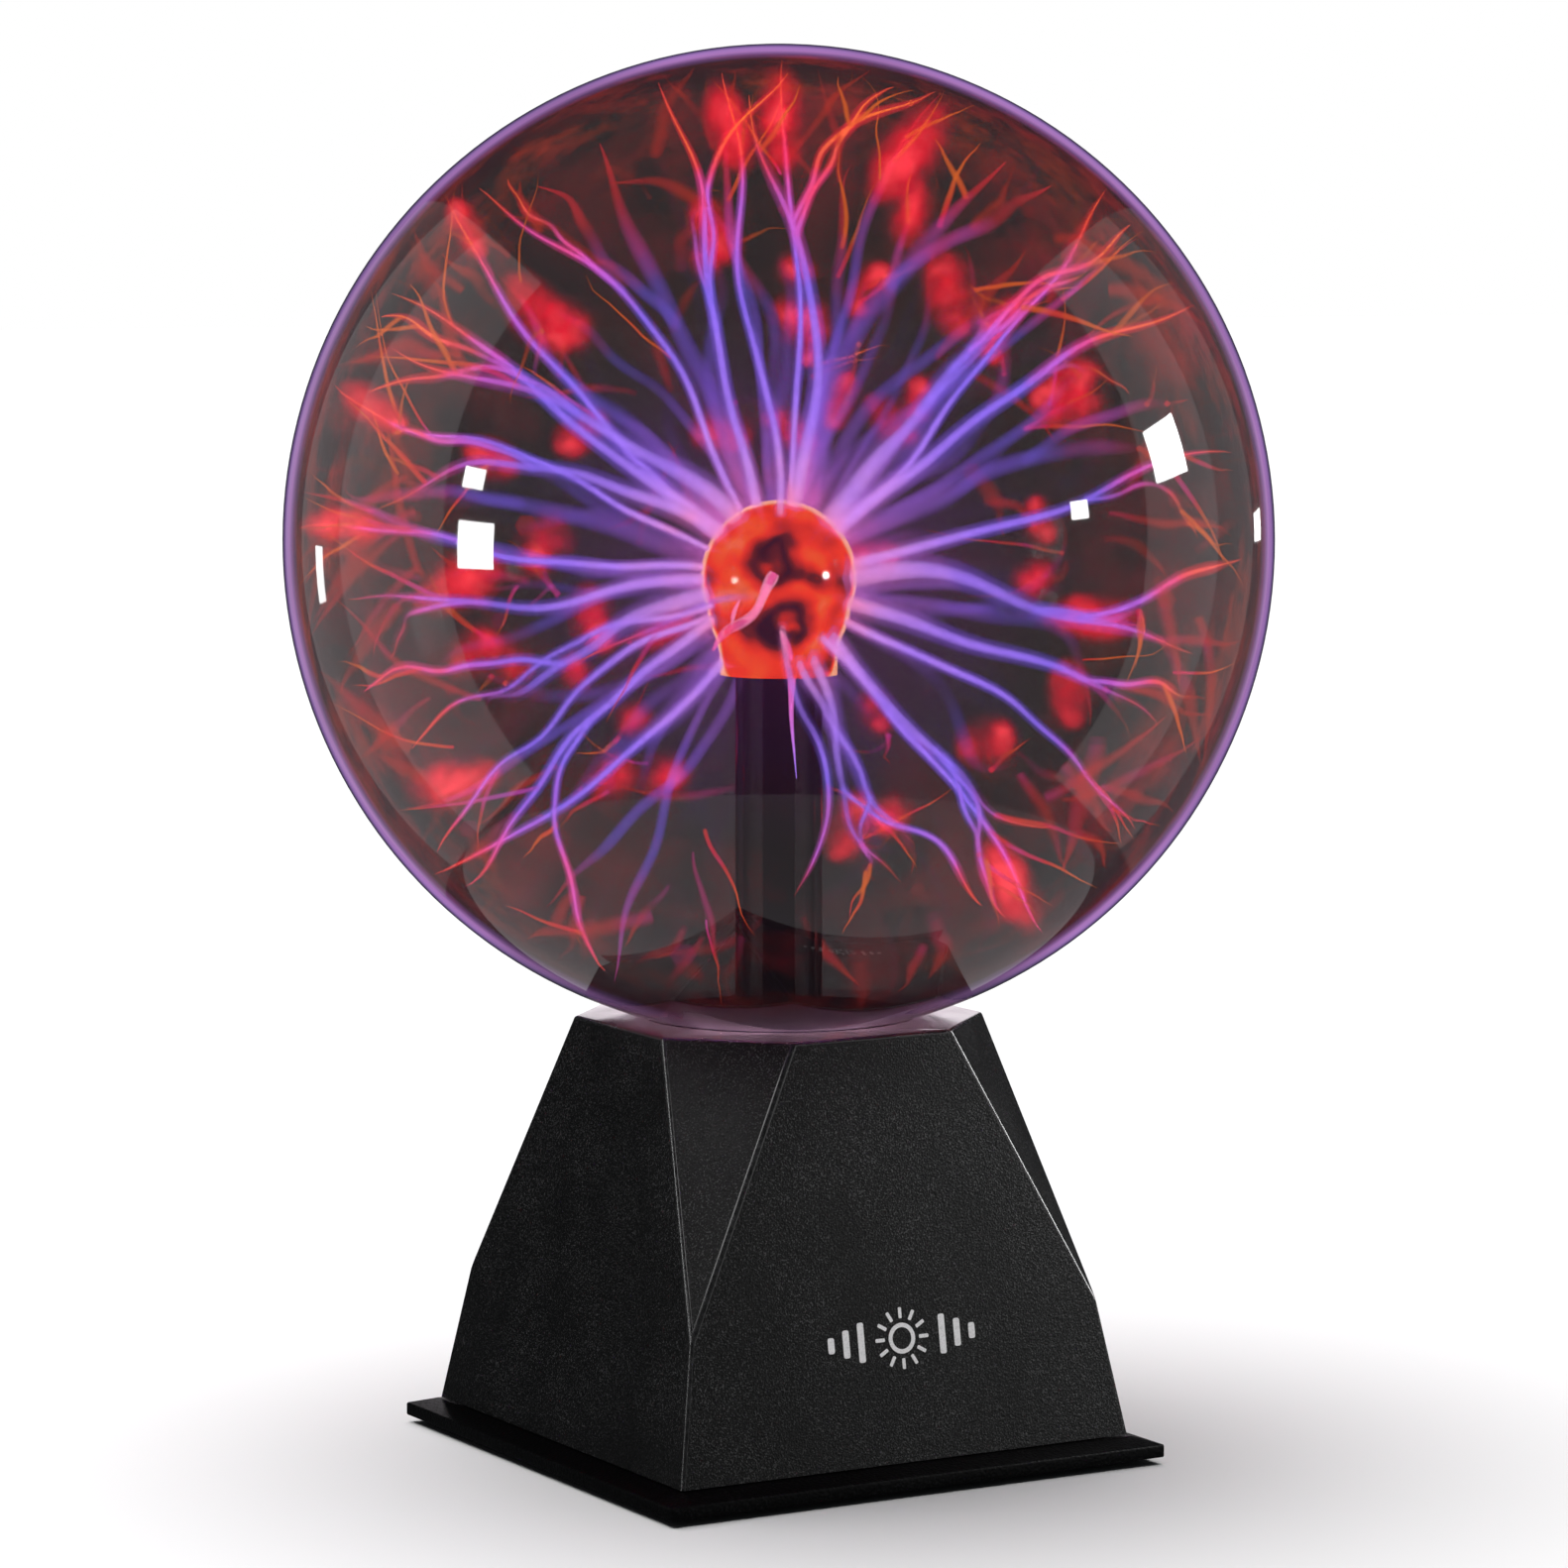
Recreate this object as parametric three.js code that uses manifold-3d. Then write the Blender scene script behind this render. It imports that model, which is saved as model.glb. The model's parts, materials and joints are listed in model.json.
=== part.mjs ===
// Plasma ball: a gas-filled glass globe with a glowing inner electrode, on a faceted
// housing that holds the high-voltage driver. Millimetres, +Z up, -Y is the front.
// The origin is on the surface that the four feet stand on, below the globe's centre.
import * as THREE from "three";
import { ConvexGeometry } from "three/addons/geometries/ConvexGeometry.js";
import { mergeVertices } from "three/addons/utils/BufferGeometryUtils.js";
import Module from "manifold-3d";

const wasm = await Module();
wasm.setup();

// ---- Driving dimensions ------------------------------------------------------------

const GAP = 0.3; // left between pieces that touch
const RUNNING_GAP = 0.4; // left round a piece that moves

// Globe, stem and electrode
const GLOBE_R = 101.5;
const GLOBE_WALL = 2.0;
const NECK_R = 23;
const NECK_WALL = 2.0;
const NECK_LENGTH = 27; // below the top deck
const STEM_R = 9;
const STEM_WALL = 1.5;
const STEM_FLARE = 6; // height of the flared foot that closes the neck
const STEM_LIP = 0.5; // how far the foot stands below the neck
const BULB_R = 16;
const BULB_WALL = 1.2;
const BULB_MOUTH_R = 12.05;
const BULB_MOUTH_DROP = 19.8; // from the bulb's centre down to its mouth
const BULB_BELOW_CENTRE = 7.35; // the bulb's centre sits this far below the globe's
const EXHAUST_R = 2.4;
const EXHAUST_LENGTH = 9;

// Housing
const BASE_HALF = 52.4; // half width of the housing's foot
const TOP_HALF = 38; // half width of the octagonal top
const TOP_EDGE_HALF = 18.5; // half length of the octagon's four main edges
const HOUSING_HEIGHT = 84.4;
const APEX_HEIGHT = 27.6; // where the four corner facets run out, above the foot
const WALL = 2.2;
const DECK = 2.4;
const RECESS_DEPTH = 1.9; // of the round seat in the deck
const SEAT_FLOOR = 2;
const SEAT_CLEARANCE = 0.5; // between the seat's rim and the globe

// Base plate and feet
const PLATE_THICKNESS = 2.6;
const PLATE_OVERHANG = 5.4; // the flange outside the housing's foot
const PLATE_RISE = 1.5; // the flange slopes up by this towards the housing
const PLATE_FLOOR = 2.5;
const FOOT_R = 5.5;
const FOOT_STANDS_OUT = 1.5;
const FOOT_RECESS = 0.8;
const FOOT_INSET = 6; // from the housing's foot to the foot's centre, along X and Y
const LIP_HEIGHT = 3; // of the lip that locates the housing, above its lower edge
const LIP_WIDTH = 2;
const VENT = { length: 14, width: 2.2, pitch: 7, fromMiddle: 11 };

// Fasteners
const BOSS_R = 4;
const BOSS_INSET = 16.5; // from the housing's foot to the boss's centre, along X and Y
const BOSS_HEIGHT = 18;
const BOSS_WEB = 2; // thickness of the rib that ties a boss to its corner
const BASE_SCREW = { headR: 3, headH: 1.9, shankR: 1.3, length: 11 };
const BOARD_SCREW = { headR: 2.5, headH: 1.5, shankR: 1.0, length: 5 };
const COLLAR_SCREW = { headR: 2.5, headH: 1.6, shankR: 1.1, length: 6 };
const TRANSISTOR_SCREW = { headR: 2.5, headH: 1.4, shankR: 1.2, length: 4 };
const COLLAR_WALL = 3;
const COLLAR_HEIGHT = 15;
const COLLAR_EAR_THICKNESS = 2.4;
const COLLAR_EAR_R = 3.6;
const COLLAR_BOSS_R = 3;
const COLLAR_BOSS_DROP = 3; // from the seat's floor down to the ears
const COLLAR_BOSS_OUT = 1.2; // from the seat cup's outside to a boss's centre

// Driver board
const BOARD_THICKNESS = 1.6;
const BOARD_LIFT = 6.5; // the posts' height above the plate's floor
const BOARD_CLEARANCE = 1.2; // from the board's corner to the screw bosses
const POST_R = 3;
const POST_INSET = 3.6; // from the board's edge to a post's centre
const COIL_AT = [-4, 3];
const COIL_R = 11;
const CORE_CLEARANCE = 7.4; // from the core's top up to the exhaust tip
const PRIMARY_THICKNESS = 1.7;
const CORE_LEG = 5.4;
const CORE_SPAN = 20; // between the centres of the core's two legs
const HV_LEAD_R = 3.4;
const LEAD_R = 0.8;
const SINK = { width: 28, height: 22, plate: 2, finReach: 6, finThickness: 1.2, finPitch: 4.8, fins: 6 };
const SINK_FACE_Y = -14; // the side that the transistor is screwed to
const TRANSISTOR = { width: 10, lift: 3, mouldingHeight: 8.5, height: 15, depth: 4.4, tab: 1.3 };
const TAB_SCREW_UP = 12; // from the transistor's lower end to its screw
const CAPACITOR = { r: 4, height: 11 };
const CAPACITORS_AT = [[-10, 18], [0, 18.5]];
const FILM_CAPACITOR = { x: -18.75, y: 1, width: 5.5, depth: 14, height: 10 };
const TIMER_CHIP = { x: 11.75, y: 17.2, width: 9.5, depth: 6.4, height: 3.4 };
const AUDIO_CHIP = { x: 18.2, y: -10.25, width: 6.4, depth: 9.5, height: 3.4 };

// Rear controls, set in the sloping rear wall
const CONTROLS_HEIGHT = 21; // above the housing's foot
const SWITCH_X = 17;
const JACK_X = -20;
const MIC_X = -1;
const BEZEL = { width: 15, height: 21, thickness: 1.4 };
const ROCKER_WIDTH = 10;
const ROCKER_REACH = 8.4; // from the pivot to either end
const ROCKER_TILT = 12; // degrees each side of off
const ROCKER_PIVOT_DEPTH = 2; // below the bezel's face
const SWITCH_DEPTH = 11; // of the body behind the wall's face
const SWITCH_WALL = 1.1;
const SWITCH_END_GAP = 0.6; // beyond either end of the rocker
const SWITCH_POCKET = 6.2; // from the pivot down to the pocket's floor
const TRUNNION_R = 1.1;
const TRUNNION_IN = 0.3; // how far a trunnion reaches into the body
const TERMINAL = { width: 4.8, thickness: 0.8, length: 6, pitch: 6 };
const JACK_BARREL_R = 4;
const JACK_BORE_R = 3.1;
const JACK_PIN_R = 1.05;
const JACK_DEPTH = 11;
const JACK_FLOOR = 1.5;
const JACK_FLANGE = { out: 1.8, thickness: 1.5, edge: 0.5 };
const JACK_NUT = { across: 12, thickness: 2 };
const MIC_R = 3;
const MIC_DEPTH = 4.5;
const MIC_HOLE_R = 1.25;

// ---- Sizes worked out from them ----------------------------------------------------

const PLATE_HALF = BASE_HALF + PLATE_OVERHANG;
const PLATE_BOTTOM = FOOT_STANDS_OUT;
const PLATE_SEAT = PLATE_BOTTOM + PLATE_THICKNESS + PLATE_RISE;
const FLOOR_Z = PLATE_BOTTOM + PLATE_FLOOR;
const FOOT_Z = PLATE_SEAT + GAP; // the housing's lower edge
const TOP_Z = FOOT_Z + HOUSING_HEIGHT;
const APEX_Z = FOOT_Z + APEX_HEIGHT;
const WALL_SLOPE = Math.atan2(BASE_HALF - TOP_HALF, HOUSING_HEIGHT);
const SEAT_Z = TOP_Z - RECESS_DEPTH;
const GLOBE_Z = SEAT_Z + GAP + Math.sqrt(GLOBE_R ** 2 - NECK_R ** 2) + GAP;
const SEAT_R = Math.sqrt(GLOBE_R ** 2 - (GLOBE_Z - TOP_Z) ** 2) + SEAT_CLEARANCE;
const NECK_BOTTOM = TOP_Z - NECK_LENGTH;
const EXHAUST_TOP = NECK_BOTTOM - STEM_LIP - GAP;
const EXHAUST_TIP = EXHAUST_TOP - EXHAUST_LENGTH;
const BULB_Z = GLOBE_Z - BULB_BELOW_CENTRE;
const BULB_MOUTH_Z = BULB_Z - BULB_MOUTH_DROP;
const BOSS_AT = BASE_HALF - BOSS_INSET;
const FOOT_AT = BASE_HALF - FOOT_INSET;
const BOARD_HALF = BOSS_AT - BOSS_R - BOARD_CLEARANCE;
const POST_AT = BOARD_HALF - POST_INSET;
const BOARD_Z = FLOOR_Z + BOARD_LIFT + GAP;
const BOARD_TOP = BOARD_Z + BOARD_THICKNESS;
const COLLAR_SCREW_AT = SEAT_R + WALL + COLLAR_BOSS_OUT; // from the axis
const EAR_TOP = SEAT_Z - SEAT_FLOOR - COLLAR_BOSS_DROP - GAP;
const COLLAR_HEAD_Z = EAR_TOP - COLLAR_EAR_THICKNESS - GAP; // under the ears, where the heads sit
const CORNERS = [[1, 1], [-1, 1], [-1, -1], [1, -1]];

// ---- Shape helpers -----------------------------------------------------------------

function solid(geometry) {
  const bare = geometry.clone();
  bare.deleteAttribute("normal");
  bare.deleteAttribute("uv");
  const merged = mergeVertices(bare, 1e-4);
  const index = merged.index.array;
  const kept = [];
  for (let i = 0; i < index.length; i += 3) {
    const [a, b, c] = [index[i], index[i + 1], index[i + 2]];
    if (a !== b && b !== c && c !== a) kept.push(a, b, c);
  }
  return new wasm.Manifold(new wasm.Mesh({
    numProp: 3,
    vertProperties: merged.attributes.position.array,
    triVerts: new Uint32Array(kept),
  }));
}

function geometryOf(body) {
  const mesh = body.getMesh();
  const places = new Float32Array(mesh.numVert * 3);
  for (let i = 0; i < mesh.numVert; i++)
    for (let k = 0; k < 3; k++) places[3 * i + k] = mesh.vertProperties[mesh.numProp * i + k];
  const geometry = new THREE.BufferGeometry();
  geometry.setAttribute("position", new THREE.BufferAttribute(places, 3));
  geometry.setIndex(new THREE.BufferAttribute(new Uint32Array(mesh.triVerts), 1));
  return geometry;
}

const join = (...shapes) => geometryOf(shapes.map(solid).reduce((a, b) => a.add(b)));
const cut = (shape, ...tools) => geometryOf(tools.map(solid).reduce((a, b) => a.subtract(b), solid(shape)));
const common = (a, b) => geometryOf(solid(a).intersect(solid(b)));

// A profile of [radius, z] points turned about +Z. It starts and ends on the axis, or is a ring.
function turned(profile, segments = 32) {
  const ring = profile.every(([r]) => r > 0);
  const outline = ring ? [...profile, profile[0]] : profile;
  const area = outline.reduce((sum, [r, z], i) => {
    const [nextR, nextZ] = outline[(i + 1) % outline.length];
    return sum + r * nextZ - nextR * z;
  }, 0);
  const points = outline.map(([r, z]) => new THREE.Vector2(r, z));
  if (area < 0) points.reverse();
  return new THREE.LatheGeometry(points, segments).rotateX(Math.PI / 2);
}

const rod = (r, z0, z1, segments = 24) => turned([[0, z0], [r, z0], [r, z1], [0, z1]], segments);
const tube = (r0, r1, z0, z1, segments = 24) => turned([[r0, z0], [r1, z0], [r1, z1], [r0, z1]], segments);
const block = (x0, x1, y0, y1, z0, z1) =>
  new THREE.BoxGeometry(x1 - x0, y1 - y0, z1 - z0).translate((x0 + x1) / 2, (y0 + y1) / 2, (z0 + z1) / 2);
const squareBlock = (half, z0, z1) => block(-half, half, -half, half, z0, z1);
const boxOn = (z, { x, y, width, depth, height }) =>
  block(x - width / 2, x + width / 2, y - depth / 2, y + depth / 2, z, z + height);
const atCorners = (at, make) => CORNERS.map(([x, y]) => make().translate(x * at, y * at, 0));
const atEars = (make) => atCorners(COLLAR_SCREW_AT / Math.SQRT2, make);

// Points of an arc about (r0, z0), from one angle to another in degrees, as [radius, z].
function arc(radius, from, to, steps, z0 = 0, r0 = 0) {
  return Array.from({ length: steps + 1 }, (_, i) => {
    const angle = THREE.MathUtils.degToRad(from + ((to - from) * i) / steps);
    return [r0 + radius * Math.cos(angle), z0 + radius * Math.sin(angle)];
  });
}

// A round tube along a smooth curve through the points.
function cable(points, radius, steps, sides = 8) {
  const section = new THREE.Shape();
  for (let i = 0; i < sides; i++) {
    const angle = (2 * Math.PI * i) / sides;
    const place = [radius * Math.cos(angle), radius * Math.sin(angle)];
    if (i === 0) section.moveTo(...place);
    else section.lineTo(...place);
  }
  section.closePath();
  const path = new THREE.CatmullRomCurve3(points.map((p) => new THREE.Vector3(...p)), false, "centripetal");
  return new THREE.ExtrudeGeometry(section, { steps, extrudePath: path, bevelEnabled: false });
}

// A cross-head screw, head down, its head's underside at z = 0 and its shank upwards.
function screw({ headR, headH, shankR, length }) {
  const body = turned([[0, -headH], [headR * 0.8, -headH], [headR, -headH * 0.6], [headR, 0],
    [shankR, 0], [shankR, length - shankR], [0, length]], 12);
  const reach = headR * 0.62;
  const width = headR * 0.13;
  const depth = headH * 0.55;
  return cut(body,
    block(-reach, reach, -width, width, -headH - 1, depth - headH),
    block(-width, width, -reach, reach, -headH - 1, depth - headH));
}

// ---- The assembly ------------------------------------------------------------------

const plasmaBall = new THREE.Group();

const FINISH = {
  glass: { color: 0x8a7f8c, roughness: 0.05, metalness: 0, transparent: true, opacity: 0.35 },
  electrode: { color: 0xe63a12, roughness: 0.25, metalness: 0 },
  steel: { color: 0x8b8d90, roughness: 0.35, metalness: 1 },
  blackPlastic: { color: 0x17171a, roughness: 0.5, metalness: 0 },
  glossPlastic: { color: 0x0d0d0f, roughness: 0.2, metalness: 0 },
  rubber: { color: 0x141414, roughness: 0.85, metalness: 0 },
  silicone: { color: 0x2a2430, roughness: 0.6, metalness: 0 },
  board: { color: 0x1d5a34, roughness: 0.5, metalness: 0 },
  ferrite: { color: 0x2b2b2e, roughness: 0.6, metalness: 0 },
  aluminium: { color: 0xb4b7ba, roughness: 0.4, metalness: 1 },
  copper: { color: 0xb3622d, roughness: 0.35, metalness: 1 },
  brass: { color: 0xc7a24a, roughness: 0.3, metalness: 1 },
  redWire: { color: 0xb01818, roughness: 0.5, metalness: 0 },
  blueFilm: { color: 0x2a3f7a, roughness: 0.4, metalness: 0 },
};

function add(name, geometry, finish, parent = plasmaBall) {
  const mesh = new THREE.Mesh(geometry, new THREE.MeshStandardMaterial(FINISH[finish]));
  mesh.name = name;
  parent.add(mesh);
  return mesh;
}

// ---- Globe, stem and electrode -----------------------------------------------------

function globe() {
  const innerR = GLOBE_R - GLOBE_WALL;
  const boreR = NECK_R - NECK_WALL;
  const outerEnd = -THREE.MathUtils.radToDeg(Math.acos(NECK_R / GLOBE_R));
  const innerEnd = -THREE.MathUtils.radToDeg(Math.acos(boreR / innerR));
  const half = (radius, end) =>
    [...arc(radius, 90, 0, 7, GLOBE_Z), ...arc(radius, 0, end, 7, GLOBE_Z).slice(1)];
  const outer = half(GLOBE_R, outerEnd);
  const inner = half(innerR, innerEnd).reverse();
  outer[0][0] = 0;
  inner[inner.length - 1][0] = 0;
  return turned([...outer, [NECK_R, NECK_BOTTOM], [boreR, NECK_BOTTOM], ...inner], 32);
}

// The glass tube inside the globe. Its foot flares out to close the neck, and its head
// widens to carry the bulb.
function stem() {
  const bore = STEM_R - STEM_WALL;
  const flareR = NECK_R - NECK_WALL - GAP;
  const headR = BULB_MOUTH_R - BULB_WALL - GAP;
  const foot = NECK_BOTTOM;
  const top = BULB_MOUTH_Z + 3.5;
  const headLow = BULB_MOUTH_Z + 1;
  return turned([
    [bore, foot - STEM_LIP], [flareR - 3, foot - STEM_LIP], [flareR, foot], [flareR, foot + STEM_WALL],
    [STEM_R + 3, foot + 2 * STEM_WALL], [STEM_R, foot + STEM_FLARE], [STEM_R, headLow - 2],
    [headR, headLow], [headR, top], [bore, top],
  ], 20);
}

// A light-bulb shape with an open mouth, thin-walled.
function bulb() {
  const shape = (shrink) => [
    ...arc(BULB_R - shrink, 90, 0, 5, BULB_Z),
    ...arc(BULB_R - shrink, 0, -22, 1, BULB_Z).slice(1),
    [BULB_R * 0.895 - shrink, BULB_Z - BULB_R * 0.56],
    [BULB_MOUTH_R + 0.75 - shrink, BULB_Z - BULB_R * 0.8],
    [BULB_MOUTH_R + 0.1 - shrink, BULB_Z - BULB_R * 0.97],
    [BULB_MOUTH_R - shrink, BULB_MOUTH_Z],
  ];
  const outer = shape(0);
  const inner = shape(BULB_WALL).reverse();
  outer[0][0] = 0;
  inner[inner.length - 1][0] = 0;
  return turned([...outer, ...inner], 24);
}

const WOOL_R = BULB_R - BULB_WALL - 1.3;
const woolBottom = BULB_Z - WOOL_R;
add("glass_globe", globe(), "glass");
add("stem_tube", stem(), "glass");
add("electrode_bulb", bulb(), "electrode");
add("steel_wool_core", new THREE.IcosahedronGeometry(WOOL_R, 2).translate(0, 0, BULB_Z), "steel");

// The stub left in the stem's foot where the air was drawn out and the gas let in.
add("exhaust_tip", turned([
  [0, EXHAUST_TIP], [EXHAUST_R * 0.5, EXHAUST_TIP + 0.6], [EXHAUST_R, EXHAUST_TIP + EXHAUST_LENGTH * 0.4],
  [EXHAUST_R, EXHAUST_TOP], [0, EXHAUST_TOP],
], 14), "glass").position.set((STEM_R + NECK_R) / 2, 0, 0);

// ---- Housing -----------------------------------------------------------------------

// The housing's solid shape, drawn in by inset on every wall: a square foot, four
// sloping main walls, and four corner facets that widen from an apex to an octagon.
function facetedBody(inset, low, high) {
  const wallIn = inset / Math.cos(WALL_SLOPE);
  const halfAt = (z) => BASE_HALF - wallIn - (z - FOOT_Z) * Math.tan(WALL_SLOPE);
  const apexDiagonal = (BASE_HALF - APEX_HEIGHT * Math.tan(WALL_SLOPE)) * Math.SQRT2;
  const topDiagonal = (TOP_HALF + TOP_EDGE_HALF) / Math.SQRT2;
  const facetSlope = (apexDiagonal - topDiagonal) / (TOP_Z - APEX_Z);
  const facetIn = inset * Math.hypot(1, facetSlope);
  const diagonalAt = (z) => apexDiagonal - facetIn - (z - APEX_Z) * facetSlope;
  const lean = facetSlope - Math.SQRT2 * Math.tan(WALL_SLOPE);
  const apex = APEX_Z + (Math.SQRT2 * wallIn - facetIn) / lean;
  const points = [];
  for (const z of [low, Math.min(Math.max(apex, low), high), high]) {
    const half = halfAt(z);
    const edge = Math.min(half, diagonalAt(z) * Math.SQRT2 - half);
    for (const [x, y] of CORNERS) {
      points.push(new THREE.Vector3(x * half, y * edge, z));
      points.push(new THREE.Vector3(x * edge, y * half, z));
    }
  }
  return new ConvexGeometry(points);
}

// The rear wall's own frame: x along the wall, y up it, z straight out of it.
const rearWall = new THREE.Group();
rearWall.position.set(0, BASE_HALF - CONTROLS_HEIGHT * Math.tan(WALL_SLOPE), FOOT_Z + CONTROLS_HEIGHT);
const rearTurn = new THREE.Matrix4().makeBasis(
  new THREE.Vector3(-1, 0, 0),
  new THREE.Vector3(0, -Math.sin(WALL_SLOPE), Math.cos(WALL_SLOPE)),
  new THREE.Vector3(0, Math.cos(WALL_SLOPE), Math.sin(WALL_SLOPE)),
);
rearWall.quaternion.setFromRotationMatrix(rearTurn);
rearWall.updateMatrix();
plasmaBall.add(rearWall);
const onRearWall = (geometry) => geometry.applyMatrix4(rearWall.matrix);
const rearPoint = (x, y, z) => new THREE.Vector3(x, y, z).applyMatrix4(rearWall.matrix).toArray();

const cutoutHalfX = ROCKER_WIDTH / 2 + RUNNING_GAP + SWITCH_WALL + GAP;
const cutoutHalfY = ROCKER_REACH + SWITCH_END_GAP + SWITCH_WALL / 2 + GAP;

function housing() {
  const outer = facetedBody(0, FOOT_Z, TOP_Z);
  const hollow = facetedBody(WALL, FOOT_Z - 1, TOP_Z - DECK);
  const seatCup = rod(SEAT_R + WALL, SEAT_Z - SEAT_FLOOR, TOP_Z - 0.1, 36);
  const corner = BASE_HALF * Math.SQRT2;
  const reach = BOSS_AT * Math.SQRT2;
  const bossTop = FOOT_Z + BOSS_HEIGHT;
  const screwPosts = CORNERS.map(([x, y]) => {
    const web = block(reach, corner, -BOSS_WEB / 2, BOSS_WEB / 2, FOOT_Z + LIP_HEIGHT + 2, bossTop - 1);
    const post = rod(BOSS_R, FOOT_Z, bossTop, 20).translate(reach, 0, 0);
    return join(post, web).rotateZ(Math.atan2(y, x));
  });
  const collarPosts = atEars(() => rod(COLLAR_BOSS_R, EAR_TOP + GAP, TOP_Z - 0.1, 16));
  const walls = cut(outer, hollow);
  const fittings = join(...screwPosts, ...collarPosts, seatCup);
  const inside = common(fittings, facetedBody(WALL / 2, FOOT_Z, TOP_Z - 0.1));
  const screwHoles = atCorners(BOSS_AT, () =>
    rod(BASE_SCREW.shankR + GAP, FOOT_Z - 1, FOOT_Z + BASE_SCREW.length, 10));
  const collarHoles = atEars(() =>
    rod(COLLAR_SCREW.shankR + GAP, EAR_TOP - 1, COLLAR_HEAD_Z + COLLAR_SCREW.length + GAP, 10));
  const controls = [
    block(SWITCH_X - cutoutHalfX, SWITCH_X + cutoutHalfX, -cutoutHalfY, cutoutHalfY, -20, 5),
    rod(JACK_BARREL_R + GAP, -20, 5, 20).translate(JACK_X, 0, 0),
    rod(MIC_HOLE_R, -20, 5, 14).translate(MIC_X, 0, 0),
  ].map(onRearWall);
  return cut(join(walls, inside),
    rod(SEAT_R, SEAT_Z, TOP_Z + 1, 36),
    rod(NECK_R + 2 * GAP, SEAT_Z - SEAT_FLOOR - 1, TOP_Z + 1, 36),
    ...screwHoles, ...collarHoles, ...controls);
}

add("housing", housing(), "blackPlastic");

// A soft ring in the deck's seat, dished to the globe.
function gasket() {
  const low = SEAT_Z + GAP;
  const high = TOP_Z - 0.2;
  const reach = GLOBE_R + GAP;
  const neckSide = NECK_R + GAP;
  const lowest = GLOBE_Z - Math.sqrt(reach ** 2 - neckSide ** 2);
  const dish = Array.from({ length: 3 }, (_, i) => {
    const z = lowest + ((high - lowest) * i) / 2;
    return [Math.sqrt(reach ** 2 - (GLOBE_Z - z) ** 2), z];
  });
  return turned([[neckSide, low], [SEAT_R - GAP, low], [SEAT_R - GAP, high], ...dish.reverse()], 36);
}

add("globe_gasket", gasket(), "silicone");

// The ring cemented round the neck, with four ears screwed up under the deck.
function collar() {
  const inner = NECK_R + GAP;
  const outer = inner + COLLAR_WALL;
  const earLow = EAR_TOP - COLLAR_EAR_THICKNESS;
  const ring = rod(outer, EAR_TOP - COLLAR_HEIGHT, EAR_TOP, 36);
  const ears = CORNERS.map(([x, y]) =>
    join(block(0, COLLAR_SCREW_AT, -COLLAR_EAR_R, COLLAR_EAR_R, earLow, EAR_TOP),
      rod(COLLAR_EAR_R, earLow, EAR_TOP, 16).translate(COLLAR_SCREW_AT, 0, 0)).rotateZ(Math.atan2(y, x)));
  const holes = atEars(() => rod(COLLAR_SCREW.shankR + GAP, earLow - 1, EAR_TOP + 1, 10));
  return cut(join(ring, ...ears), rod(inner, EAR_TOP - COLLAR_HEIGHT - 1, EAR_TOP + 1, 36), ...holes);
}

add("globe_collar", collar(), "blackPlastic");
CORNERS.forEach(([x, y], i) => {
  const at = COLLAR_SCREW_AT / Math.SQRT2;
  add(`collar_screw_${i + 1}`, screw(COLLAR_SCREW), "steel").position.set(x * at, y * at, COLLAR_HEAD_Z);
});

// ---- Base plate, feet and screws ---------------------------------------------------

const slottedVents = () => [-1, 1].flatMap((side) => [-1, 0, 1].map((row) => boxOn(PLATE_BOTTOM - 1, {
  x: side * VENT.fromMiddle,
  y: row * VENT.pitch,
  width: VENT.length,
  depth: VENT.width,
  height: PLATE_FLOOR + 2,
})));

function basePlate() {
  const square = (half, z) => CORNERS.map(([x, y]) => new THREE.Vector3(x * half, y * half, z));
  const slab = new ConvexGeometry([
    ...square(PLATE_HALF, PLATE_BOTTOM), ...square(PLATE_HALF, PLATE_BOTTOM + PLATE_THICKNESS),
    ...square(BASE_HALF + 0.4, PLATE_SEAT),
  ]);
  const lipOuter = BASE_HALF - WALL / Math.cos(WALL_SLOPE) - (LIP_HEIGHT + GAP) * Math.tan(WALL_SLOPE) - GAP;
  const lip = squareBlock(lipOuter, FLOOR_Z - 0.2, PLATE_SEAT + LIP_HEIGHT);
  const pit = squareBlock(lipOuter - LIP_WIDTH, FLOOR_Z, PLATE_SEAT + LIP_HEIGHT + 1);
  const pads = atCorners(BOSS_AT, () => rod(BOSS_R + 1, PLATE_BOTTOM + 0.1, PLATE_SEAT, 20));
  const posts = atCorners(POST_AT, () => rod(POST_R, PLATE_BOTTOM + 0.1, BOARD_Z - GAP, 16));
  const headPits = atCorners(BOSS_AT, () =>
    rod(BASE_SCREW.headR + GAP, PLATE_BOTTOM - 1, PLATE_BOTTOM + BASE_SCREW.headH + GAP, 16));
  const screwHoles = atCorners(BOSS_AT, () => rod(BASE_SCREW.shankR + GAP, PLATE_BOTTOM, PLATE_SEAT + 1, 10));
  const postHoles = atCorners(POST_AT, () => rod(BOARD_SCREW.shankR + GAP, FLOOR_Z - 0.5, BOARD_Z, 10));
  const footPits = atCorners(FOOT_AT, () =>
    rod(FOOT_R + GAP, PLATE_BOTTOM - 1, PLATE_BOTTOM + FOOT_RECESS, 20));
  const tray = cut(join(slab, lip), pit);
  return cut(join(tray, ...pads, ...posts),
    ...headPits, ...screwHoles, ...postHoles, ...footPits, ...slottedVents());
}

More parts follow.
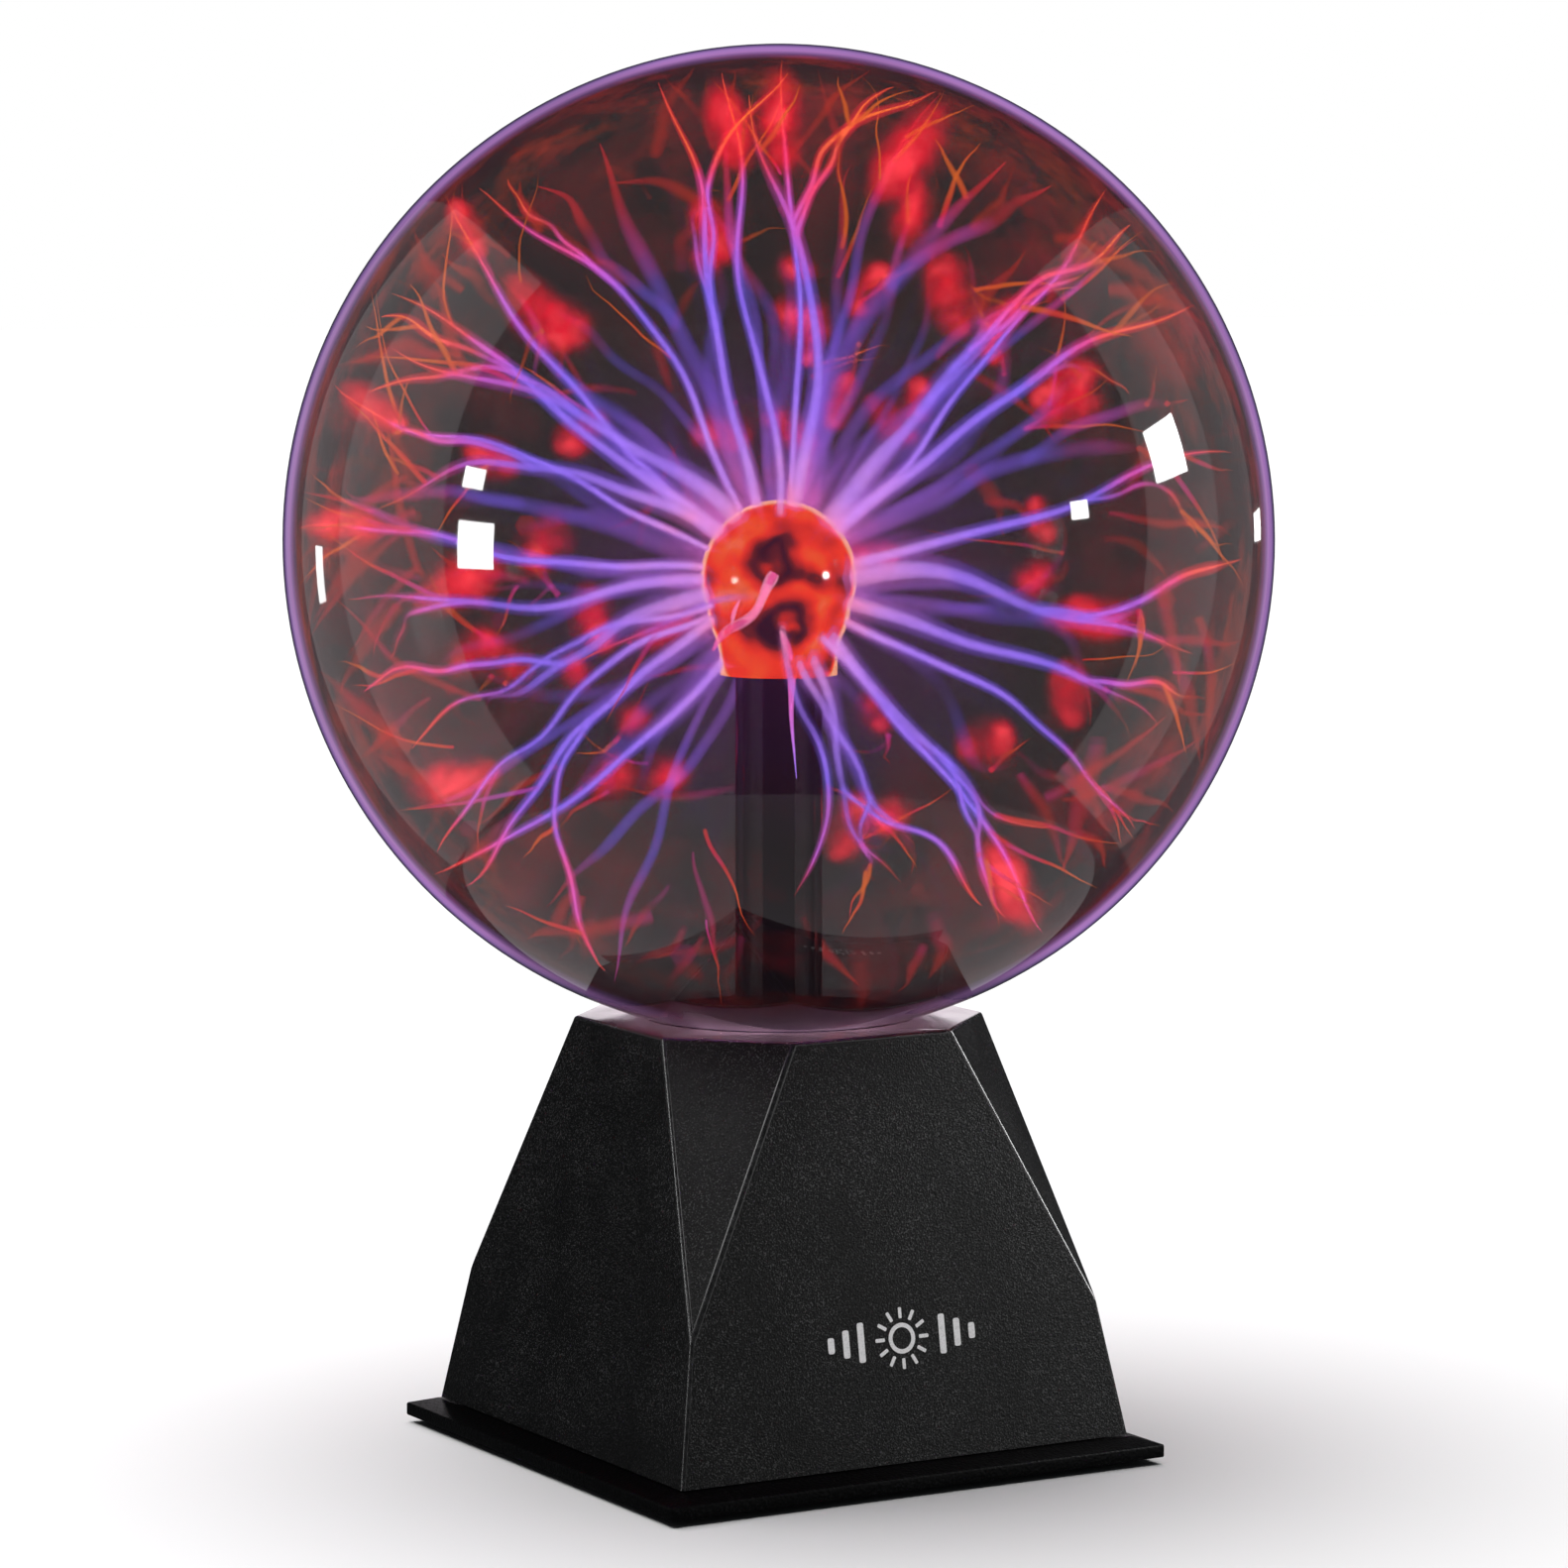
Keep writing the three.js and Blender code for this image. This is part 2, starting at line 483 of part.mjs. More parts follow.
add("base_plate", basePlate(), "blackPlastic");
CORNERS.forEach(([x, y], i) => {
  const foot = turned([[0, 0], [FOOT_R - 0.6, 0], [FOOT_R, 0.6],
    [FOOT_R, FOOT_STANDS_OUT + FOOT_RECESS - GAP], [0, FOOT_STANDS_OUT + FOOT_RECESS - GAP]], 20);
  add(`rubber_foot_${i + 1}`, foot, "rubber").position.set(x * FOOT_AT, y * FOOT_AT, 0);
  add(`base_screw_${i + 1}`, screw(BASE_SCREW), "steel")
    .position.set(x * BOSS_AT, y * BOSS_AT, PLATE_BOTTOM + BASE_SCREW.headH);
});

// ---- Driver board ------------------------------------------------------------------

const onBoard = BOARD_TOP + GAP;
const coilLow = onBoard + CORE_LEG + GAP;
const coilTop = EXHAUST_TIP - CORE_CLEARANCE - CORE_LEG - GAP;
const coilBore = (CORE_LEG / 2) * Math.SQRT2 + GAP;

function board() {
  const holes = atCorners(POST_AT, () => rod(BOARD_SCREW.shankR + GAP, BOARD_Z - 1, BOARD_TOP + 1, 10));
  return cut(squareBlock(BOARD_HALF, BOARD_Z, BOARD_TOP), ...holes);
}

// The ferrite loop: one leg through the high-voltage coil, the other through the primary.
function ferriteLoop() {
  const high = coilTop + GAP + CORE_LEG;
  const half = CORE_LEG / 2;
  return cut(block(-half, CORE_SPAN + half, -half, half, onBoard, high),
    block(half, CORE_SPAN - half, -half - 1, half + 1, onBoard + CORE_LEG, high - CORE_LEG))
    .translate(...COIL_AT, 0);
}

const tabFace = SINK_FACE_Y + GAP + TRANSISTOR.tab;
const tabScrewZ = onBoard + TRANSISTOR.lift + TAB_SCREW_UP;
const tabHole = () =>
  rod(TRANSISTOR_SCREW.shankR + GAP, -8, 8, 14).rotateX(Math.PI / 2).translate(0, tabFace, tabScrewZ);

function finnedSink() {
  const back = SINK_FACE_Y - SINK.plate;
  const plate = block(-SINK.width / 2, SINK.width / 2, back, SINK_FACE_Y, onBoard, onBoard + SINK.height);
  const fins = Array.from({ length: SINK.fins }, (_, i) => boxOn(onBoard, {
    x: (i - (SINK.fins - 1) / 2) * SINK.finPitch,
    y: back - SINK.finReach / 2 + 0.1,
    width: SINK.finThickness,
    depth: SINK.finReach + 0.2,
    height: SINK.height,
  }));
  return cut(join(plate, ...fins), tabHole());
}

// A moulded body with a thin metal tab above it, screwed flat to the heatsink.
function transistor() {
  const back = SINK_FACE_Y + GAP;
  const low = onBoard + TRANSISTOR.lift;
  const half = TRANSISTOR.width / 2;
  const moulding = block(-half, half, back, back + TRANSISTOR.depth, low, low + TRANSISTOR.mouldingHeight);
  return cut(join(moulding, block(-half, half, back, tabFace, low + 1, low + TRANSISTOR.height)), tabHole());
}

add("driver_board", board(), "board");
CORNERS.forEach(([x, y], i) => {
  const turnedOver = screw(BOARD_SCREW).rotateX(Math.PI);
  add(`board_screw_${i + 1}`, turnedOver, "steel").position.set(x * POST_AT, y * POST_AT, BOARD_TOP + GAP);
});
add("hv_coil", tube(coilBore, COIL_R, coilLow, coilTop, 28).translate(...COIL_AT, 0), "ferrite");
add("ferrite_core", ferriteLoop(), "ferrite");
add("primary_winding", tube(coilBore, coilBore + PRIMARY_THICKNESS, coilLow + 3, coilTop - 3, 20)
  .translate(COIL_AT[0] + CORE_SPAN, COIL_AT[1], 0), "copper");
add("heatsink", finnedSink(), "aluminium");
add("power_transistor", transistor(), "glossPlastic");
add("transistor_screw", screw(TRANSISTOR_SCREW).rotateX(Math.PI / 2), "steel")
  .position.set(0, tabFace + GAP, tabScrewZ);
CAPACITORS_AT.forEach(([x, y], i) => {
  const can = rod(CAPACITOR.r, onBoard, onBoard + CAPACITOR.height, 20);
  add(`filter_capacitor_${i + 1}`, can, "blueFilm").position.set(x, y, 0);
});
add("film_capacitor", boxOn(onBoard, FILM_CAPACITOR), "blueFilm");
add("timer_chip", boxOn(onBoard, TIMER_CHIP), "glossPlastic");
add("audio_chip", boxOn(onBoard, AUDIO_CHIP), "glossPlastic");

// The high-voltage lead: off the coil's top, through the stem and up to the steel wool.
const leadStart = [COIL_AT[0] - CORE_LEG / 2 - HV_LEAD_R - 3 * GAP, COIL_AT[1], coilTop + GAP];
add("hv_lead", cable([
  leadStart, [leadStart[0], leadStart[1], coilTop + CORE_LEG + 1],
  [leadStart[0] * 0.5, 1, (coilTop + NECK_BOTTOM) / 2 + 3],
  [0, 0, NECK_BOTTOM + 2], [0, 0, NECK_BOTTOM + 25], [0, 0, (NECK_BOTTOM + BULB_MOUTH_Z) / 2 + 10],
  [0, 0, woolBottom - GAP],
], HV_LEAD_R, 20), "silicone");

// ---- Rear controls -----------------------------------------------------------------

const bezelFace = GAP + BEZEL.thickness;
const pivotZ = bezelFace - ROCKER_PIVOT_DEPTH;
const pocketHalfX = ROCKER_WIDTH / 2 + RUNNING_GAP;

// Body and bezel of the three-way switch, in the rear wall's frame, pocket facing out.
function switchBody() {
  const pocketHalfY = ROCKER_REACH + SWITCH_END_GAP;
  const outX = pocketHalfX + SWITCH_WALL;
  const outY = pocketHalfY + SWITCH_WALL / 2;
  const bezel = block(-BEZEL.width / 2, BEZEL.width / 2, -BEZEL.height / 2, BEZEL.height / 2, GAP, bezelFace);
  const body = block(-outX, outX, -outY, outY, -SWITCH_DEPTH, bezelFace - 0.1);
  const floor = pivotZ - SWITCH_POCKET;
  const pocket = block(-pocketHalfX, pocketHalfX, -pocketHalfY, pocketHalfY, floor, bezelFace + 1);
  const bearingHalf = pocketHalfX + TRUNNION_IN + RUNNING_GAP;
  const bearing = rod(TRUNNION_R + GAP, -bearingHalf, bearingHalf, 14).rotateY(Math.PI / 2);
  return cut(join(bezel, body), pocket, bearing.translate(0, 0, pivotZ));
}

// The rocker in its own frame: pivot at the origin along x, y up the wall, z outwards.
// Its face is a shallow V, so that the half that is pressed lies level with the bezel.
function rocker() {
  const dishEnd = ROCKER_REACH - 0.5;
  const middle = ROCKER_PIVOT_DEPTH + 0.6;
  const end = middle + dishEnd * Math.tan(THREE.MathUtils.degToRad(ROCKER_TILT));
  const half = [
    [0, middle], [dishEnd, end], [ROCKER_REACH, 0], [ROCKER_REACH * 0.86, -3.6], [ROCKER_REACH * 0.35, -5.3],
  ];
  const outline = [...half, ...half.slice(1).reverse().map(([y, z]) => [-y, z])];
  const shape = new THREE.Shape(outline.map(([y, z]) => new THREE.Vector2(y, z)));
  const sideways = new THREE.Matrix4().makeBasis(
    new THREE.Vector3(0, 1, 0), new THREE.Vector3(0, 0, 1), new THREE.Vector3(1, 0, 0));
  const body = new THREE.ExtrudeGeometry(shape, { depth: ROCKER_WIDTH, bevelEnabled: false })
    .translate(0, 0, -ROCKER_WIDTH / 2).applyMatrix4(sideways);
  const reach = pocketHalfX + TRUNNION_IN;
  return join(body, rod(TRUNNION_R, -reach, reach, 14).rotateY(Math.PI / 2));
}

const jackFace = GAP + JACK_FLANGE.thickness;
const jackFloor = JACK_FLOOR - JACK_DEPTH;

function jackBody() {
  const barrel = rod(JACK_BARREL_R, -JACK_DEPTH, jackFace - 0.1, 24);
  const rim = JACK_BARREL_R + JACK_FLANGE.out;
  const inner = rim - JACK_FLANGE.edge;
  const flange = turned([
    [0, GAP], [rim, GAP], [rim, jackFace - JACK_FLANGE.edge], [inner, jackFace], [0, jackFace],
  ], 28);
  return cut(join(barrel, flange), rod(JACK_BORE_R, jackFloor, jackFace + 1, 24));
}

function hexNut(across, bore, z0, z1) {
  return cut(rod(across / 2 / Math.cos(Math.PI / 6), z0, z1, 6), rod(bore, z0 - 1, z1 + 1, 24));
}

add("switch_body", switchBody(), "blackPlastic", rearWall).position.set(SWITCH_X, 0, 0);
const rockerMesh = add("rocker", rocker(), "glossPlastic", rearWall);
rockerMesh.position.set(SWITCH_X, 0, pivotZ);
rockerMesh.rotation.x = THREE.MathUtils.degToRad(-ROCKER_TILT); // its upper half pressed: on
const terminalTop = -SWITCH_DEPTH - GAP;
[-1, 0, 1].forEach((row, i) => {
  const blade = boxOn(terminalTop - TERMINAL.length, {
    x: 0, y: 0, width: TERMINAL.width, depth: TERMINAL.thickness, height: TERMINAL.length,
  });
  add(`switch_terminal_${i + 1}`, blade, "brass", rearWall).position.set(SWITCH_X, row * TERMINAL.pitch, 0);
});
const wallInside = -WALL - GAP;
add("dc_jack", jackBody(), "glossPlastic", rearWall).position.x = JACK_X;
add("dc_jack_pin", rod(JACK_PIN_R, jackFloor + GAP, 2 * GAP, 12), "brass", rearWall).position.x = JACK_X;
add("dc_jack_nut", hexNut(JACK_NUT.across, JACK_BARREL_R + GAP, wallInside - JACK_NUT.thickness, wallInside),
  "steel", rearWall).position.x = JACK_X;
add("microphone", rod(MIC_R, wallInside - MIC_DEPTH, wallInside, 20), "aluminium", rearWall)
  .position.x = MIC_X;

// A lead from the back of a control to its pad on the board's rear edge.
function lead(name, start, padX, finish) {
  const pad = [padX, BOARD_HALF - 2.5, onBoard + LEAD_R];
  const halfway = start.map((value, axis) => (value + pad[axis]) / 2);
  const middle = [halfway[0], Math.max(pad[1] + 2.5, halfway[1]), halfway[2]];
  const above = [padX, pad[1] + 0.4, pad[2] + 2.5];
  add(name, cable([start, middle, above, pad], LEAD_R, 10, 6), finish);
}

const jackBack = -JACK_DEPTH - GAP - LEAD_R;
lead("jack_lead_positive", rearPoint(JACK_X + 2, 0, jackBack), 14, "redWire");
lead("jack_lead_negative", rearPoint(JACK_X - 2, 0, jackBack), 18, "silicone");
const terminalEnd = terminalTop - TERMINAL.length - GAP - LEAD_R;
lead("switch_lead_1", rearPoint(SWITCH_X, -TERMINAL.pitch, terminalEnd), -17, "redWire");
lead("switch_lead_2", rearPoint(SWITCH_X, 0, terminalEnd), -12, "silicone");
lead("microphone_lead", rearPoint(MIC_X, 0, wallInside - MIC_DEPTH - GAP - LEAD_R), 4, "silicone");

export default plasmaBall;
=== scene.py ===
import json
import math
import random

import bmesh
import bpy
from mathutils import Matrix, Vector


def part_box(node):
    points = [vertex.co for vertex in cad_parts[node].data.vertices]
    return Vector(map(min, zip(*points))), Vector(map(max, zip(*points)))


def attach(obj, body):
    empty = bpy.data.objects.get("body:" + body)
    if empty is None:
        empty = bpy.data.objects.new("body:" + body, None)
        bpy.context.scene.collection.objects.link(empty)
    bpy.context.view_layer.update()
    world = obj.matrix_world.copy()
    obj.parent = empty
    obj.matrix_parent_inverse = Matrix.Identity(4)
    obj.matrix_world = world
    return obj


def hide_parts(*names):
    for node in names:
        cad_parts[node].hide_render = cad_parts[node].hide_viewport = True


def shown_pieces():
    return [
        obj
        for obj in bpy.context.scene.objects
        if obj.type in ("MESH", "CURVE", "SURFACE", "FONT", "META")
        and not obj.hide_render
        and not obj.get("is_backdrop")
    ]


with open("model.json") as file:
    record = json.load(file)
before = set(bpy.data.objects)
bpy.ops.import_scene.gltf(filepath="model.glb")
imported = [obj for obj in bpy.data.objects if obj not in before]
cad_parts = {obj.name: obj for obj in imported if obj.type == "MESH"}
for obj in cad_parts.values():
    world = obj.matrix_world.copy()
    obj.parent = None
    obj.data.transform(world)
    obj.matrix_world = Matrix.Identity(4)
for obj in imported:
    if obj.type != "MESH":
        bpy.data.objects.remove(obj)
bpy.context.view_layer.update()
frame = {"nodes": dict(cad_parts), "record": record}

nodes = frame["nodes"]

MM = 0.001
BODY = "stand"

# ---- Sizes and places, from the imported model

globe_low, globe_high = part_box("glass_globe")
GLOBE_R = (globe_high.x - globe_low.x) / 2
GLOBE = Vector((0, 0, globe_high.z - GLOBE_R))
NECK_BOTTOM = globe_low.z
GLOBE_WALL = 2 * MM
NECK_R = 23 * MM
INNER_R = GLOBE_R - GLOBE_WALL
NECK_STEP = 12 * MM  # how far below the deck the neck gets a ring of its own

bulb_low, bulb_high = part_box("electrode_bulb")
BULB_R = (bulb_high.x - bulb_low.x) / 2
BULB = Vector((0, 0, bulb_high.z - BULB_R))
BULB_MOUTH_R = 12.05 * MM
BULB_WALL = 1.2 * MM

housing_low, housing_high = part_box("housing")
BASE_HALF = housing_high.x
FOOT_Z = housing_low.z
DECK_Z = housing_high.z
TOP_HALF = 38 * MM
TOP_EDGE_HALF = 18.5 * MM
APEX_Z = FOOT_Z + 27.6 * MM
WALL_SLOPE = math.atan2(BASE_HALF - TOP_HALF, DECK_Z - FOOT_Z)
DECK_THICKNESS = 3 * MM
CONTROL_HEIGHT = 21 * MM  # of the switch's row above the housing's foot, and of the front mark's
SWITCH_RIGHT = 17 * MM
WELD = 2e-6  # vertices nearer than this are one vertex
PRINT_LIFT = 0.03 * MM

# ---- The viewer's side: place, pitch and yaw of the main camera

CAMERA_AT = Vector((-0.581, -0.9985, 0.252))
CAMERA_TURN = (math.pi / 2 - 0.098, 0, -0.527)
camera_axes = Matrix.Rotation(CAMERA_TURN[2], 3, "Z") @ Matrix.Rotation(CAMERA_TURN[0], 3, "X")
TO_RIGHT = camera_axes @ Vector((1, 0, 0))
TO_TOP = camera_axes @ Vector((0, 1, 0))
TO_VIEWER = camera_axes @ Vector((0, 0, 1))


def seen(right, top, near):
    """A unit direction, given as parts to the viewer's right, up, and nearer."""
    return (TO_RIGHT * right + TO_TOP * top + TO_VIEWER * near).normalized()


def aim(clock, lean):
    """clock: degrees clockwise from straight up. lean: degrees away from the viewer's side."""
    c = math.radians(clock)
    a = math.radians(lean)
    return seen(math.sin(c) * math.sin(a), math.cos(c) * math.sin(a), math.cos(a))


# ---- Node helpers


def start_finish(name):
    """A new material, its node tree, its shader and the place on the piece."""
    material = bpy.data.materials.new(name)
    material.use_nodes = True
    tree = material.node_tree
    shader = tree.nodes["Principled BSDF"]
    place = tree.nodes.new("ShaderNodeTexCoord").outputs["Object"]
    return material, tree, shader, place


def grain(tree, place, size, detail=2.0, stretch=(1, 1, 1), roughness=0.5):
    """Noise whose lumps are about size metres across."""
    mapping = tree.nodes.new("ShaderNodeMapping")
    mapping.inputs["Scale"].default_value = stretch
    tree.links.new(place, mapping.inputs["Vector"])
    noise = tree.nodes.new("ShaderNodeTexNoise")
    noise.inputs["Scale"].default_value = 1 / size
    noise.inputs["Detail"].default_value = detail
    noise.inputs["Roughness"].default_value = roughness
    tree.links.new(mapping.outputs["Vector"], noise.inputs["Vector"])
    return noise.outputs["Fac"]


def cells(tree, place, size):
    """Pebbles about size metres across."""
    pebbles = tree.nodes.new("ShaderNodeTexVoronoi")
    pebbles.feature = "SMOOTH_F1"
    pebbles.inputs["Scale"].default_value = 1 / size
    pebbles.inputs["Smoothness"].default_value = 0.6
    tree.links.new(place, pebbles.inputs["Vector"])
    return pebbles.outputs["Distance"]


def spread(tree, value, low, high, from_low=0.3, from_high=0.7):
    """Maps a pattern's value to a range."""
    ranged = tree.nodes.new("ShaderNodeMapRange")
    ranged.inputs["From Min"].default_value = from_low
    ranged.inputs["From Max"].default_value = from_high
    ranged.inputs["To Min"].default_value = low
    ranged.inputs["To Max"].default_value = high
    tree.links.new(value, ranged.inputs["Value"])
    return ranged.outputs["Result"]


def ramp(tree, value, stops):
    """Colours at shares of a value, blended between."""
    made = tree.nodes.new("ShaderNodeValToRGB")
    elements = made.color_ramp.elements
    while len(elements) < len(stops):
        elements.new(0.5)
    for element, (position, colour) in zip(elements, stops):
        element.position = position
        element.color = (*colour, 1)
    tree.links.new(value, made.inputs["Fac"])
    return made.outputs["Color"]


def maths(tree, operation, first, second=None):
    """One sum on values or plain numbers."""
    made = tree.nodes.new("ShaderNodeMath")
    made.operation = operation
    for socket, value in zip(made.inputs, (first, second)):
        if value is None:
            continue
        if isinstance(value, (int, float)):
            socket.default_value = value
        else:
            tree.links.new(value, socket)
    return made.outputs[0]


def add_bump(tree, shader, heights, strength, depth):
    """heights: patterns from the coarsest to the finest, laid over each other."""
    below = None
    for height in heights:
        bump = tree.nodes.new("ShaderNodeBump")
        bump.inputs["Strength"].default_value = strength
        bump.inputs["Distance"].default_value = depth
        tree.links.new(height, bump.inputs["Height"])
        if below is not None:
            tree.links.new(below, bump.inputs["Normal"])
        below = bump.outputs["Normal"]
    tree.links.new(below, shader.inputs["Normal"])


def height_of(tree, place):
    """Metres above the table."""
    split = tree.nodes.new("ShaderNodeSeparateXYZ")
    tree.links.new(place, split.inputs[0])
    return split.outputs["Z"]


def distance_from(tree, place, centre):
    """Metres from a fixed place."""
    away = tree.nodes.new("ShaderNodeVectorMath")
    away.operation = "DISTANCE"
    away.inputs[1].default_value = centre
    tree.links.new(place, away.inputs[0])
    return away.outputs["Value"]


def facing(tree):
    """0 where the surface faces the eye and 1 where it is edge-on."""
    return tree.nodes.new("ShaderNodeLayerWeight").outputs["Facing"]


def glow_only(material, shader, base=(0, 0, 0)):
    """Light without gloss, which isn't searched for as a lamp."""
    shader.inputs["Base Color"].default_value = (*base, 1)
    shader.inputs["Roughness"].default_value = 1.0
    shader.inputs["Specular IOR Level"].default_value = 0.0
    material.cycles.emission_sampling = "NONE"


# ---- Finishes of the solid pieces


def moulded_plastic(name, dark, light, pebble, shine):
    """Black moulding with a fine spark-eroded grain, and lighter specks painted in its colour as glints,
    stronger in patches.
    """
    material, tree, shader, place = start_finish(name)
    pebbles = cells(tree, place, pebble)
    fine = grain(tree, place, pebble * 0.7, 1.0)
    patches = grain(tree, place, 17 * MM, 3.0)
    # Painted glints: light specks in the base colour where the grain would catch the light.
    painted_glints = spread(tree, fine, 0.0, 1.0, 0.54, 0.76)
    glint_speckle = maths(tree, "MULTIPLY", painted_glints, spread(tree, patches, 0.3, 1.0))
    tree.links.new(ramp(tree, glint_speckle, [(0.0, dark), (0.6, light)]), shader.inputs["Base Color"])
    tree.links.new(spread(tree, patches, 0.38, 0.48), shader.inputs["Roughness"])
    shader.inputs["Specular IOR Level"].default_value = shine
    add_bump(tree, shader, [pebbles, fine], 0.7, 0.11 * MM)
    return material


def highlighted_edge(name):
    """The same moulding on its eased edges, glossier and with a lighter tone painted on as edge highlight.
    """
    material, tree, shader, place = start_finish(name)
    edge_sheen_mottle = grain(tree, place, 1.1 * MM, 3.0)
    # Painted highlight: a lighter tone than the moulding's own, laid on the rounded edges.
    tone = ramp(tree, edge_sheen_mottle, [(0.35, (0.006, 0.006, 0.006)), (0.7, (0.03, 0.03, 0.031))])
    tree.links.new(tone, shader.inputs["Base Color"])
    tree.links.new(spread(tree, edge_sheen_mottle, 0.14, 0.30), shader.inputs["Roughness"])
    shader.inputs["Specular IOR Level"].default_value = 0.9
    shader.inputs["Coat Weight"].default_value = 0.6
    shader.inputs["Coat Roughness"].default_value = 0.12
    add_bump(tree, shader, [edge_sheen_mottle], 0.2, 0.03 * MM)
    return material


def polished_plastic(name, tone, rough, shine):
    """A polished moulding with smudges and hair scratches."""
    material, tree, shader, place = start_finish(name)
    smudges = grain(tree, place, 9 * MM, 4.0)
    scratches = grain(tree, place, 0.5 * MM, 1.0, (1, 0.06, 0.3))
    tree.links.new(spread(tree, smudges, rough, rough * 1.8), shader.inputs["Roughness"])
    lighter = tuple(c * 1.8 for c in tone)
    tree.links.new(ramp(tree, smudges, [(0.3, tone), (0.75, lighter)]), shader.inputs["Base Color"])
    shader.inputs["Specular IOR Level"].default_value = shine
    add_bump(tree, shader, [scratches], 0.12, 0.01 * MM)
    return material


def soft_finish(name, tone, lump, rough):
    """Rubber, silicone or a wire's sleeve: matt, with a dusty mottle."""
    material, tree, shader, place = start_finish(name)
    mottle = grain(tree, place, 3 * MM, 4.0)
    fine = grain(tree, place, lump, 2.0)
    dusty = tuple(c * 1.7 + 0.004 for c in tone)
    tree.links.new(ramp(tree, mottle, [(0.35, tone), (0.8, dusty)]), shader.inputs["Base Color"])
    tree.links.new(spread(tree, fine, rough - 0.08, rough + 0.08), shader.inputs["Roughness"])
    add_bump(tree, shader, [mottle, fine], 0.25, 0.05 * MM)
    return material


def metal(name, tone, rough, stretch, size):
    """Metal with drawing or turning marks along one direction."""
    material, tree, shader, place = start_finish(name)
    marks = grain(tree, place, size, 2.0, stretch)
    stain = grain(tree, place, 4 * MM, 3.0)
    duller = tuple(c * 0.62 for c in tone)
    tree.links.new(ramp(tree, stain, [(0.3, duller), (0.65, tone)]), shader.inputs["Base Color"])
    tree.links.new(spread(tree, marks, rough - 0.07, rough + 0.12), shader.inputs["Roughness"])
    shader.inputs["Metallic"].default_value = 1.0
    add_bump(tree, shader, [marks], 0.2, 0.02 * MM)
    return material


def board_laminate(name):
    """Solder mask over the weave of a glass laminate, with darker copper beneath."""
    material, tree, shader, place = start_finish(name)
    weave = tree.nodes.new("ShaderNodeTexWave")
    weave.inputs["Scale"].default_value = 500
    weave.inputs["Distortion"].default_value = 1.5
    tree.links.new(place, weave.inputs["Vector"])
    copper = grain(tree, place, 6 * MM, 1.0)
    mask = ramp(tree, copper, [(0.44, (0.01, 0.11, 0.035)), (0.47, (0.02, 0.2, 0.07))])
    tree.links.new(mask, shader.inputs["Base Color"])
    tree.links.new(spread(tree, copper, 0.3, 0.42), shader.inputs["Roughness"])
    add_bump(tree, shader, [copper, weave.outputs["Fac"]], 0.2, 0.03 * MM)
    return material


def wound_wire(name, tone):
    """Close turns of enamelled wire round an upright core, with painted shade in the grooves between the
    turns.
    """
    material, tree, shader, place = start_finish(name)
    turns = tree.nodes.new("ShaderNodeTexWave")
    turns.bands_direction = "Z"
    turns.inputs["Scale"].default_value = 420
    turns.inputs["Distortion"].default_value = 0.4
    tree.links.new(place, turns.inputs["Vector"])
    enamel = grain(tree, place, 2 * MM, 3.0)
    # Painted shade: the same copper darker in the grooves between the turns.
    groove_shade_tone = tuple(c * 0.45 for c in tone)
    colour = ramp(tree, turns.outputs["Fac"], [(0.1, groove_shade_tone), (0.6, tone)])
    tree.links.new(colour, shader.inputs["Base Color"])
    tree.links.new(spread(tree, enamel, 0.25, 0.4), shader.inputs["Roughness"])
    shader.inputs["Metallic"].default_value = 0.7
    add_bump(tree, shader, [turns.outputs["Fac"]], 0.8, 0.1 * MM)
    return material


def printed_ink(name, tone):
    """Pad-printed ink that follows the grain beneath it."""
    material, tree, shader, place = start_finish(name)
    pores = grain(tree, place, 0.35 * MM, 2.0)
    thin = tuple(c * 0.78 for c in tone)
    tree.links.new(ramp(tree, pores, [(0.3, thin), (0.5, tone)]), shader.inputs["Base Color"])
    tree.links.new(spread(tree, pores, 0.4, 0.6), shader.inputs["Roughness"])
    add_bump(tree, shader, [pores], 0.3, 0.02 * MM)
    return material


def pale_floor(name):
    """A plain pale table."""
    material, tree, shader, place = start_finish(name)
    cloud = grain(tree, place, 0.6, 2.0)
    tone = ramp(tree, cloud, [(0.3, (0.86, 0.86, 0.865)), (0.7, (0.88, 0.88, 0.88))])
    tree.links.new(tone, shader.inputs["Base Color"])
    shader.inputs["Roughness"].default_value = 0.9
    shader.inputs["Specular IOR Level"].default_value = 0.1
    return material


# ---- Finishes of the glass and of the lit gas


